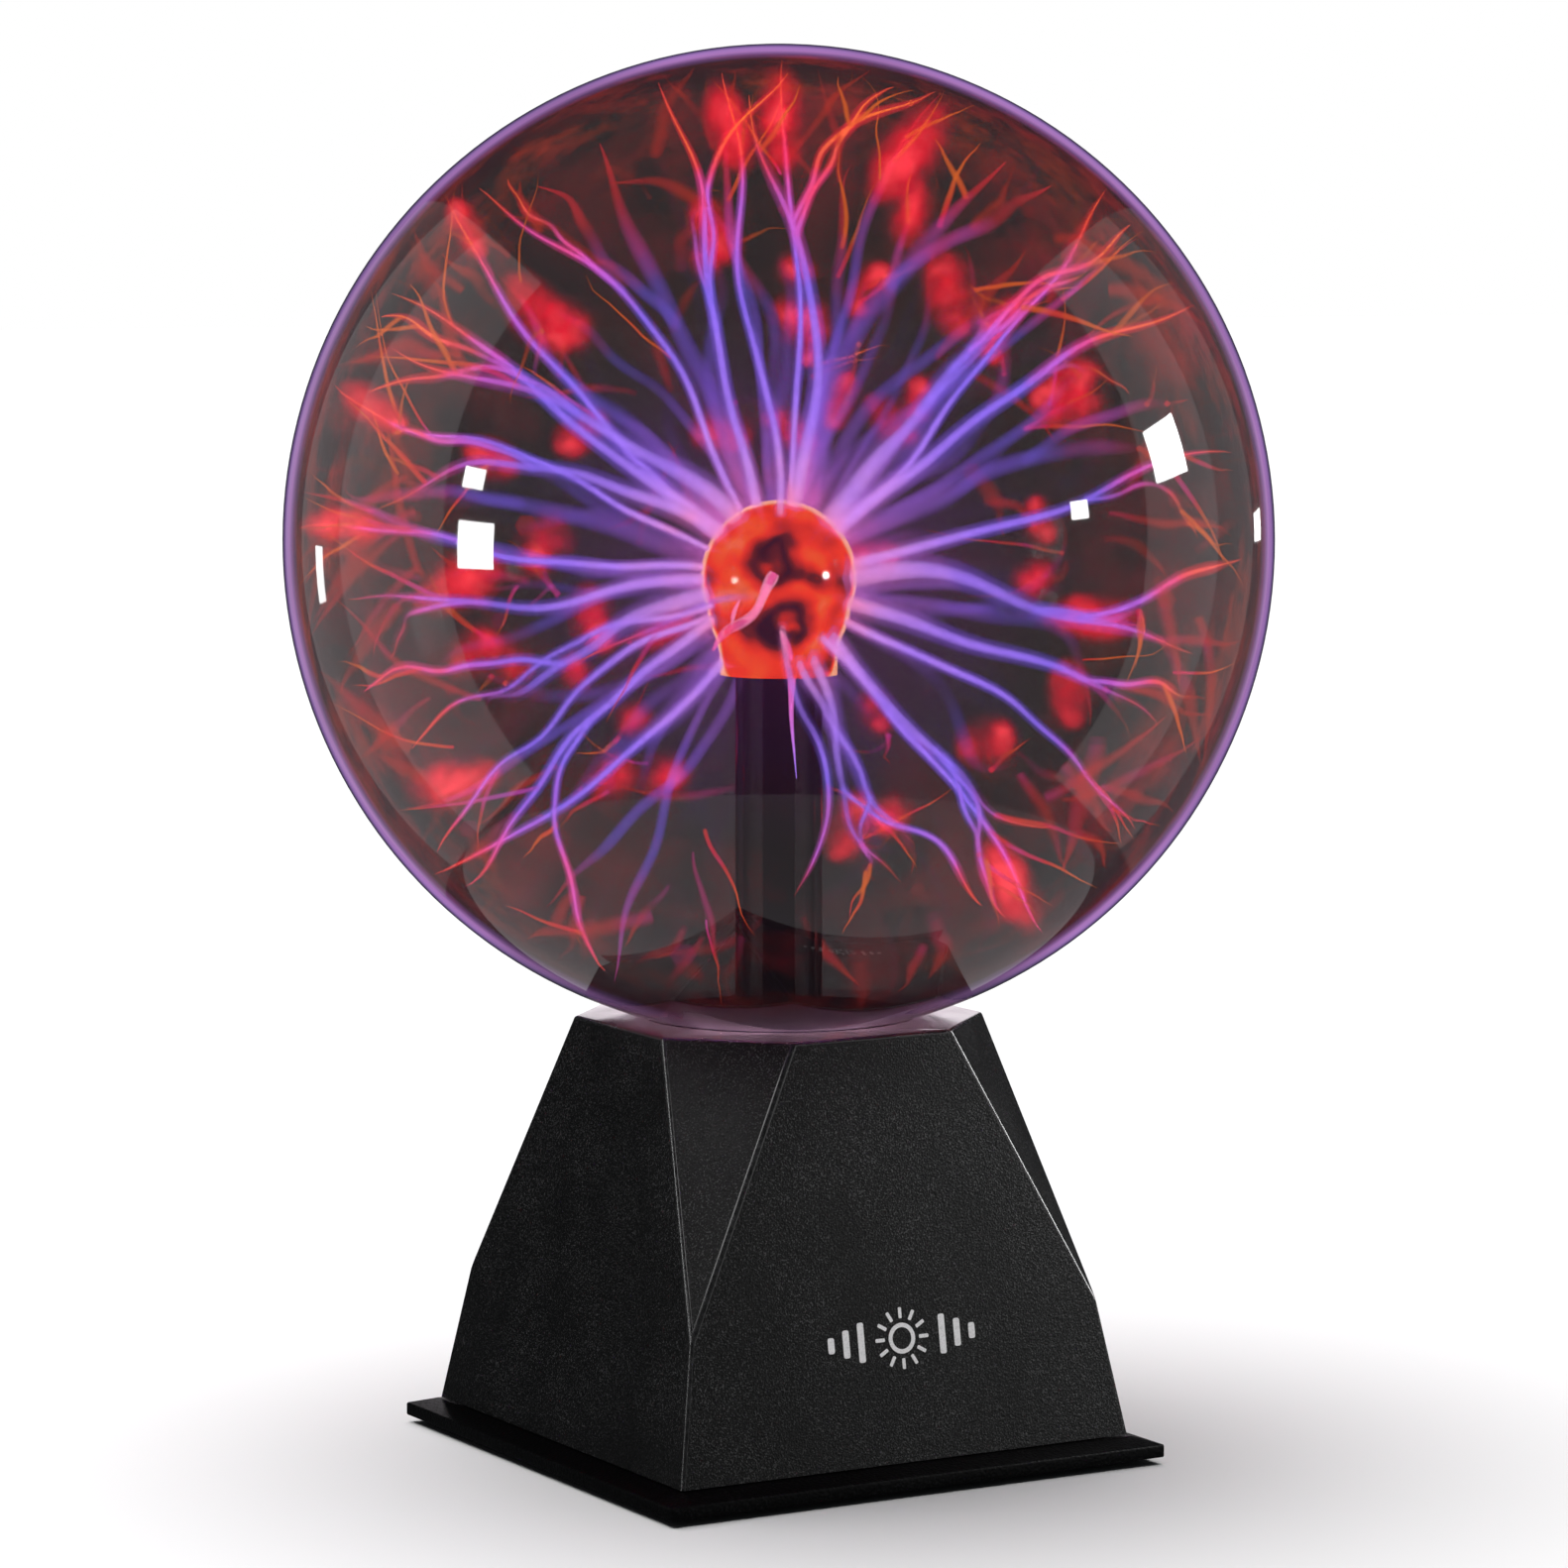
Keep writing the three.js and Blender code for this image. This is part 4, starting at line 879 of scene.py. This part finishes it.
def all_strands():
    """Every streamer as places and radii, sorted by the gas that it is made of, and the clouds' places."""
    dice = random.Random(7)
    cores, glows, veils, twigs, films, spots, licks = [], [], [], [], [], [], []

    def fan(strand, end, stout):
        """Splits a strand's end into thin twigs that spread over the glass."""
        for _ in range(dice.randint(0, 2)):
            k = dice.randint(int(len(strand) * 0.66), int(len(strand) * 0.88))
            t, place, heading = strand[k]
            way = (end + Vector([dice.gauss(0, 0.08) for _ in range(3)])).normalized()
            twig = grow(dice, heading, way, t, place, 0.9 * MM, 12)
            twigs.append(thickness(twig, [(0, 0.50 * stout), (1, 0.70 * stout)], 0.7))

    def branch(begin, end, start, origin, stout, sway, behind):
        strand = grow(dice, begin, end, start, origin, sway)
        mild = 0.5 + 0.5 * stout
        if behind:
            veil = [(0, 2.6 * stout), (0.5, 2.0 * mild), (1, 2.2 * mild)]
            veils.append(thickness(strand, veil, 0.3))
        else:
            core = [(0, 1.5 * stout), (0.3, 1.05 * mild), (0.6, 0.72 * mild), (1, 0.5)]
            glow = [(0, 3.0 * stout), (0.4, 2.1 * mild), (0.8, 1.5 * mild), (1, 1.9)]
            cores.append(thickness(strand, core, 0.35))
            glows.append(thickness(strand, glow, 0.25))
        fan(strand, end, 0.8 + 0.4 * stout)
        return strand

    for line in FRONT_LICKS:
        knots = []
        for clock, lean, reach, radius in line:
            knots.append((BULB + BULB_R * reach * aim(clock, lean), radius * MM))
        licks.append(eased(eased(eased(knots))))

    for clock, lean, end_clock, end_lean, stout, forks in TRUNKS:
        begin = aim(clock, lean)
        end = aim(end_clock, end_lean)
        behind = end_lean > 95
        strand = branch(begin, end, 0.0, None, stout, 5 * MM, behind)
        for share, fork_clock, fork_lean in forks:
            t, place, heading = strand[int(share * (len(strand) - 1))]
            branch(heading, aim(fork_clock, fork_lean), t, place, stout * 0.55, 4 * MM, behind)

    for clock, share in SPOTS:
        lean = 180 - math.degrees(math.asin(share))
        end = aim(clock, lean)
        begin = aim(clock + dice.uniform(-12, 12), min(lean, 118) - dice.uniform(0, 12))
        stout = dice.uniform(0.5, 1.1)
        strand = branch(begin, end, 0.0, None, stout, 6 * MM, True)
        spots.append((strand[-3][1], strand[-1][1] - strand[-6][1], dice.uniform(0.8, 1.25)))

    # Stray streamers to the sides and behind, where no trunk is named.
    for _ in range(STRAYS):
        clock = dice.uniform(-165, 165)
        lean = dice.uniform(62, 150)
        begin = aim(clock + dice.uniform(-10, 10), lean + dice.uniform(-12, 6))
        end = aim(clock, lean)
        strand = branch(begin, end, 0.0, None, dice.uniform(0.35, 0.8), 5 * MM, lean > 90)
        if dice.random() < 0.4:
            spots.append((strand[-3][1], strand[-1][1] - strand[-6][1], dice.uniform(0.6, 1.1)))

    # Short wisps of the fan that runs over the inside of the glass.
    for number in range(WISPS):
        clock = dice.uniform(-180, 180)
        lean = math.degrees(math.acos(dice.uniform(-0.95, 0.6)))
        end = aim(clock, lean)
        way = (end + Vector([dice.gauss(0, 0.13) for _ in range(3)])).normalized()
        wisp = grow(dice, way, end, dice.uniform(0.74, 0.9), None, 1.6 * MM, 12)
        if number % TWIG_EVERY == 0:
            size = dice.uniform(0.3, 0.6)
            twigs.append(thickness(wisp, [(0, size), (1, size)], 0.7))
        else:
            size = dice.uniform(1.2, 3.2)
            films.append(thickness(wisp, [(0.7, size * 0.1), (0.9, size), (1, size)], 0.5))
    return cores, glows, veils, twigs, films, spots, licks


def soft_spots(name, spots, material):
    """Drawn-out clouds of gas where the streamers end at the glass."""
    bm = bmesh.new()
    for centre, along, size in spots:
        turn = along.to_track_quat("Z", "Y").to_matrix().to_4x4()
        scale = Matrix.Diagonal((8.0 * MM * size, 8.0 * MM * size, 14 * MM * size, 1))
        out = centre - GLOBE
        inside = min(out.length, INNER_R - 14.5 * MM * size)
        stand_in = Matrix.Translation(GLOBE + out.normalized() * inside) @ turn @ scale
        bmesh.ops.create_icosphere(bm, subdivisions=3, radius=1, matrix=stand_in)
    return piece_from(bm, name, material, smooth=180)


def haze(name, centre, radius, material):
    """A round bank of gas."""
    bm = bmesh.new()
    bmesh.ops.create_icosphere(bm, subdivisions=4, radius=radius, matrix=Matrix.Translation(centre))
    return piece_from(bm, name, material, smooth=180)


# ---- Camera

camera_data = bpy.data.cameras.new("camera")
camera_data.lens = 129.3
camera_data.sensor_width = 36
camera_data.shift_x = 0.0033
camera_data.shift_y = -0.0013
camera_data.clip_start = 0.05
camera_data.clip_end = 50
camera = bpy.data.objects.new("camera", camera_data)
camera.location = CAMERA_AT
camera.rotation_euler = CAMERA_TURN
bpy.context.scene.collection.objects.link(camera)
bpy.context.scene.camera = camera

# ---- The assembly

# The lighter tone of each moulding is the colour of its painted glints.
abs_black = moulded_plastic("grained_abs", (0.0016, 0.0016, 0.0017), (0.070, 0.070, 0.071),
                            0.5 * MM, 0.40)
plate_black = moulded_plastic("plate_abs", (0.0022, 0.0022, 0.0024), (0.010, 0.010, 0.011),
                              0.75 * MM, 0.15)
gloss_black = polished_plastic("polished_black", (0.007, 0.007, 0.008), 0.16, 0.5)
zinc = metal("zinc_plated_steel", (0.55, 0.56, 0.58), 0.34, (1, 1, 0.2), 0.5 * MM)
INK = printed_ink("printed_ink", (0.95, 0.95, 0.95))

SLOT_FINISH = {
    "globe_glass": clear_tube("stem_glass"),
    "black_plastic": abs_black,
    "gloss_black_plastic": gloss_black,
    "rubber": soft_finish("foot_rubber", (0.018, 0.018, 0.019), 0.4 * MM, 0.85),
    "silicone": soft_finish("black_silicone", (0.012, 0.011, 0.014), 0.3 * MM, 0.6),
    "red_insulation": soft_finish("red_sleeve", (0.38, 0.016, 0.016), 0.3 * MM, 0.5),
    "circuit_board": board_laminate("board_laminate"),
    "ferrite": soft_finish("ground_ferrite", (0.045, 0.045, 0.05), 0.2 * MM, 0.55),
    "copper_wire": wound_wire("copper_winding", (0.62, 0.24, 0.09)),
    "aluminium": metal("drawn_aluminium", (0.74, 0.75, 0.77), 0.36, (1, 1, 0.1), 0.4 * MM),
    "steel": zinc,
    "brass": metal("turned_brass", (0.78, 0.58, 0.27), 0.28, (0.2, 1, 1), 0.3 * MM),
    "capacitor_sleeve": polished_plastic("shrunk_sleeve", (0.016, 0.024, 0.10), 0.3, 0.5),
    "electrode_glass": gloss_black,
}
FINISHES = {}
for part in frame["record"]["subparts"]:
    FINISHES[part["node"]] = SLOT_FINISH[part["material_slot"]]
FINISHES["base_plate"] = plate_black
FINISHES["steel_wool_core"] = metal("steel_wool", (0.3, 0.28, 0.27), 0.5, (1, 1, 1), 0.5 * MM)
for name, node in nodes.items():
    node.data.materials.clear()
    node.data.materials.append(FINISHES[name])

globe = blown_globe()
bulb = blown_bulb()
housing = moulded_housing()
moulded_plate()
stem = smoothed("stem_tube", "stem", SLOT_FINISH["globe_glass"], sharp=50)
smoothed("hv_lead", "high_voltage_lead", SLOT_FINISH["silicone"], sharp=50)
smoothed("globe_gasket", "gasket", SLOT_FINISH["silicone"], sharp=40)
smoothed("switch_body", "switch_bezel", gloss_black, 0.25 * MM)
smoothed("dc_jack", "power_inlet", gloss_black, 0.15 * MM)
smoothed("dc_jack_pin", "inlet_pin", SLOT_FINISH["brass"], 0.12 * MM)
for number in range(1, 5):
    smoothed(f"rubber_foot_{number}", f"foot_{number}", SLOT_FINISH["rubber"], 0.4 * MM, 3)
rocker = smoothed("rocker", "rocker_paddle", gloss_black, 0.3 * MM, 3)
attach(rocker, "rocker_body")
front_mark()
switch_marks()

VIOLET = (0.26, 0.12, 0.90)
BLUE = (0.17, 0.12, 0.80)
MAGENTA = (0.80, 0.07, 0.45)
RED = (1.0, 0.03, 0.05)

cores, glows, veils, twigs, films, spots, licks = all_strands()
core_gas = lit_gas("streamer_core", [
    (0.0, (1.0, 0.32, 0.60)), (0.06, (0.74, 0.34, 0.95)), (0.25, (0.46, 0.24, 1.0)),
    (0.55, (0.30, 0.16, 0.95)), (0.74, (0.62, 0.14, 0.75)), (0.86, (1.0, 0.08, 0.14)),
    (1.0, (1.0, 0.22, 0.04)),
], 7.0, 0.60, 2.0, 0.08)
glow_gas = lit_gas("streamer_glow", [
    (0.0, (0.90, 0.20, 0.60)), (0.10, (0.56, 0.20, 0.85)), (0.3, VIOLET), (0.6, BLUE), (0.78, MAGENTA),
    (0.9, RED),
], 7.5, 0.24, 2.6, 0.10)
veil_gas = lit_gas("streamer_veil", [
    (0.0, (0.85, 0.16, 0.60)), (0.12, (0.46, 0.16, 0.80)), (0.4, VIOLET), (0.6, BLUE), (0.78, MAGENTA),
    (0.92, RED),
], 7.0, 0.17, 2.8, 0.10)
film_gas = lit_gas("red_film", [
    (0.6, MAGENTA), (0.8, RED), (1.0, (1.0, 0.06, 0.02)),
], 4.2, 0.18, 3.8, 0.18)
twig_gas = lit_gas("streamer_tips", [
    (0.4, VIOLET), (0.66, MAGENTA), (0.8, RED), (0.93, (1.0, 0.18, 0.03)),
], 5.0, 0.42, 2.0, 0.16)
lick_gas = lit_gas("bulb_licks", [
    (0.008, (1.0, 0.50, 0.62)), (0.022, (1.0, 0.13, 0.40)), (0.12, (0.8, 0.14, 0.55)),
    (0.3, (0.4, 0.2, 0.9)),
], 8.0, 0.72, 1.6, 0.004)
spot_gas = cloud_gas("end_spots")
haze_gas = lit_gas("violet_haze", [
    (0.0, (0.5, 0.12, 0.8)), (0.5, (0.35, 0.04, 0.4)), (1.0, (0.3, 0.01, 0.1)),
], 2.6, 0.12, 3.0, 0.1)

lit = [
    as_tubes("streamer_cores", cores, core_gas),
    as_tubes("streamer_glows", glows, glow_gas),
    as_tubes("streamer_veils", veils, veil_gas),
    as_tubes("streamer_tips", twigs, twig_gas, 0),
    as_tubes("red_films", films, film_gas),
    as_tubes("bulb_licks", licks, lick_gas, 2),
    soft_spots("end_spots", spots, spot_gas),
    haze("violet_haze", BULB, 58 * MM, haze_gas),
]

# ---- Floor, lights and surroundings

bm = bmesh.new()
bmesh.ops.create_grid(bm, x_segments=2, y_segments=2, size=12)
floor_mesh = bpy.data.meshes.new("floor")
bm.to_mesh(floor_mesh)
bm.free()
floor_mesh.materials.append(pale_floor("pale_floor"))
floor = bpy.data.objects.new("floor", floor_mesh)
floor.visible_glossy = False
bpy.context.scene.collection.objects.link(floor)
floor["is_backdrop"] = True


WHITE = (1, 1, 1)


def lit_group(name, members):
    """The only pieces that a light falls on."""
    group = bpy.data.collections.new(name)
    for member in members:
        group.objects.link(member)
    return group


glass_pieces = [globe, bulb, stem]
glass_group = lit_group("glass_pieces", glass_pieces)
floor_group = lit_group("floor_only", [floor])
solid_pieces = [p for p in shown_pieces() if p not in glass_pieces and p not in lit]
base_group = lit_group("base_pieces", solid_pieces)


def softbox(name, target, way, distance, width, height, radiance, group, tint=WHITE, turn=None):
    """An even panel of light, square on to its target unless it is given a turn of its own."""
    data = bpy.data.lights.new(name, "AREA")
    data.shape = "RECTANGLE"
    data.size = width
    data.size_y = height
    data.energy = radiance * math.pi * width * height
    data.color = tint
    lamp = bpy.data.objects.new(name, data)
    lamp.location = target + way * distance
    lamp.rotation_euler = turn if turn else way.to_track_quat("Z", "Y").to_euler()
    lamp.visible_camera = False
    lamp.light_linking.receiver_collection = group
    bpy.context.scene.collection.objects.link(lamp)
    return lamp


def globe_window(name, right, up, width, height, radiance):
    """A small window whose reflection shows on the globe at a place given in globe radii."""
    eye_distance = (CAMERA_AT - GLOBE).length
    near = math.sqrt(1 - right * right - up * up)
    closer = 1 - near * GLOBE_R / eye_distance
    out = seen(right * closer, up * closer, math.sqrt(1 - (right * right + up * up) * closer * closer))
    spot = GLOBE + out * GLOBE_R
    eye = (CAMERA_AT - spot).normalized()
    bounce = out * (2 * out.dot(eye)) - eye
    softbox(name, spot, bounce, 1.5, width, height, radiance, glass_group)


def side_wall(name, side, near, far, low, high, radiance):
    """An upright white wall 1.2 m to one side of the globe. Its edges are slopes seen from the globe."""
    aside = 1.2
    across = TO_TOP.cross(TO_RIGHT * side)
    turn = Matrix((across, TO_TOP, TO_RIGHT * side)).transposed().to_euler()
    middle = TO_RIGHT * side + TO_VIEWER * (near + far) / 2 + TO_TOP * (low + high) / 2
    width = (near - far) * aside
    height = (high - low) * aside
    softbox(name, GLOBE, middle, aside, width, height, radiance, glass_group, turn=turn)


def glow_lamp(name, place, energy, tint, radius, group):
    """A soft point of light that can't be seen itself."""
    data = bpy.data.lights.new(name, "POINT")
    data.energy = energy
    data.color = tint
    data.shadow_soft_size = radius
    lamp = bpy.data.objects.new(name, data)
    lamp.location = place
    lamp.visible_camera = False
    lamp.light_linking.receiver_collection = group
    bpy.context.scene.collection.objects.link(lamp)
    return lamp


# Windows that show in the glass: right and up in globe radii, width and height in metres, radiance.
for name, right, up, width, height, radiance in (
    ("left_window", -0.612, -0.044, 0.27, 0.23, 40),
    ("left_low_window", -0.614, 0.092, 0.16, 0.10, 40),
    ("left_slim_window", -0.922, -0.084, 0.11, 0.15, 8),
    ("right_window", 0.780, 0.157, 0.33, 0.22, 40),
    ("right_low_window", 0.607, 0.028, 0.13, 0.09, 40),
    ("right_slim_window", 0.962, 0.018, 0.14, 0.06, 10),
):
    globe_window(name, right, up, width, height, radiance)

# Walls that show in the glass: side, nearest and farthest edge, lowest and highest edge, radiance.
for name, side, near, far, low, high, radiance in (
    ("left_wall", -1, 0.20, -0.50, -0.95, 1.08, 0.85),
    ("left_far_wall", -1, -0.50, -1.20, -0.95, 1.08, 0.42),
    ("left_end_wall", -1, -1.20, -2.80, -0.95, 1.08, 0.13),
    ("right_wall", 1, 0.02, -0.50, -0.85, 1.04, 0.7),
    ("right_far_wall", 1, -0.50, -1.10, -0.85, 1.04, 0.32),
    ("right_end_wall", 1, -1.10, -2.20, -0.85, 1.04, 0.11),
):
    side_wall(name, side, near, far, low, high, radiance)

UP = Vector((0, 0, 1))
table_glow = softbox("table_glow", UP * 0.002, -UP, 0.0, 0.38, 0.38, 0.27, glass_group)
table_glow.data.shape = "DISK"
bulb_group = lit_group("bulb_only", [bulb])
softbox("left_glint", BULB, seen(-0.92, -0.06, 0.39), 1.5, 0.24, 0.18, 1900, bulb_group)
softbox("right_glint", BULB, seen(0.96, 0.05, 0.28), 1.5, 0.28, 0.22, 1900, bulb_group)

# Studio lights on the base: way from it, distance, width and height in metres, radiance and tint.
BASE_MIDDLE = UP * DECK_Z / 2
for name, way, distance, width, height, radiance, tint in (
    ("facet_light", (-0.60, -0.36, 0.72), 1.3, 0.5, 0.5, 2.3, WHITE),
    ("front_light", (0.50, -0.85, 0.19), 1.6, 1.1, 1.0, 0.46, WHITE),
    ("left_edge_light", (-0.86, 0.30, 0.36), 1.3, 0.04, 0.8, 11, WHITE),
    ("low_edge_light", (-0.98, 0.05, 0.22), 1.3, 0.035, 0.5, 7, WHITE),
    ("right_edge_light", (0.90, -0.30, 0.40), 1.3, 0.12, 0.8, 17, WHITE),
    ("back_light", (0.50, 0.86, 0.10), 1.8, 0.8, 0.5, 1.5, (1, 0.93, 0.98)),
):
    way = Vector(way).normalized()
    softbox(name, BASE_MIDDLE, way, distance, width, height, radiance, base_group, tint)

sun_data = bpy.data.lights.new("floor_sun", "SUN")
sun_data.energy = 4.1
sun_data.angle = math.radians(70)
sun = bpy.data.objects.new("floor_sun", sun_data)
sun.rotation_euler = (math.radians(-8), math.radians(-4), 0)
sun.light_linking.receiver_collection = floor_group
bpy.context.scene.collection.objects.link(sun)

# The gas's own light on the base, and round the neck on the deck.
glow_lamp("plasma_light", GLOBE, 0.5, (1.0, 0.35, 0.6), 0.05, base_group)
neck_group = lit_group("housing_only", [housing])
neck_glow = glow_lamp("neck_glow", UP * (DECK_Z + 5 * MM), 10, (1.0, 0.72, 0.88), 0.018, neck_group)
neck_glow.visible_glossy = False

# The room is white where it is seen, and dim where it lights the pieces.
world = bpy.data.worlds.new("studio")
bpy.context.scene.world = world
world.use_nodes = True
sky = world.node_tree
sky.nodes.clear()


def backdrop(colour, strength):
    """An even surround."""
    light = sky.nodes.new("ShaderNodeBackground")
    light.inputs["Color"].default_value = (*colour, 1)
    light.inputs["Strength"].default_value = strength
    return light.outputs["Background"]


path = sky.nodes.new("ShaderNodeLightPath")
mix = sky.nodes.new("ShaderNodeMixShader")
out = sky.nodes.new("ShaderNodeOutputWorld")
sky.links.new(path.outputs["Is Camera Ray"], mix.inputs["Fac"])
sky.links.new(backdrop((0.9, 0.95, 1.0), 0.04), mix.inputs[1])
sky.links.new(backdrop(WHITE, 1.0), mix.inputs[2])
sky.links.new(mix.outputs["Shader"], out.inputs["Surface"])

scene = bpy.context.scene
scene.cycles.transparent_max_bounces = 96  # enough for every strand of gas in line
scene.view_settings.view_transform = "Standard"
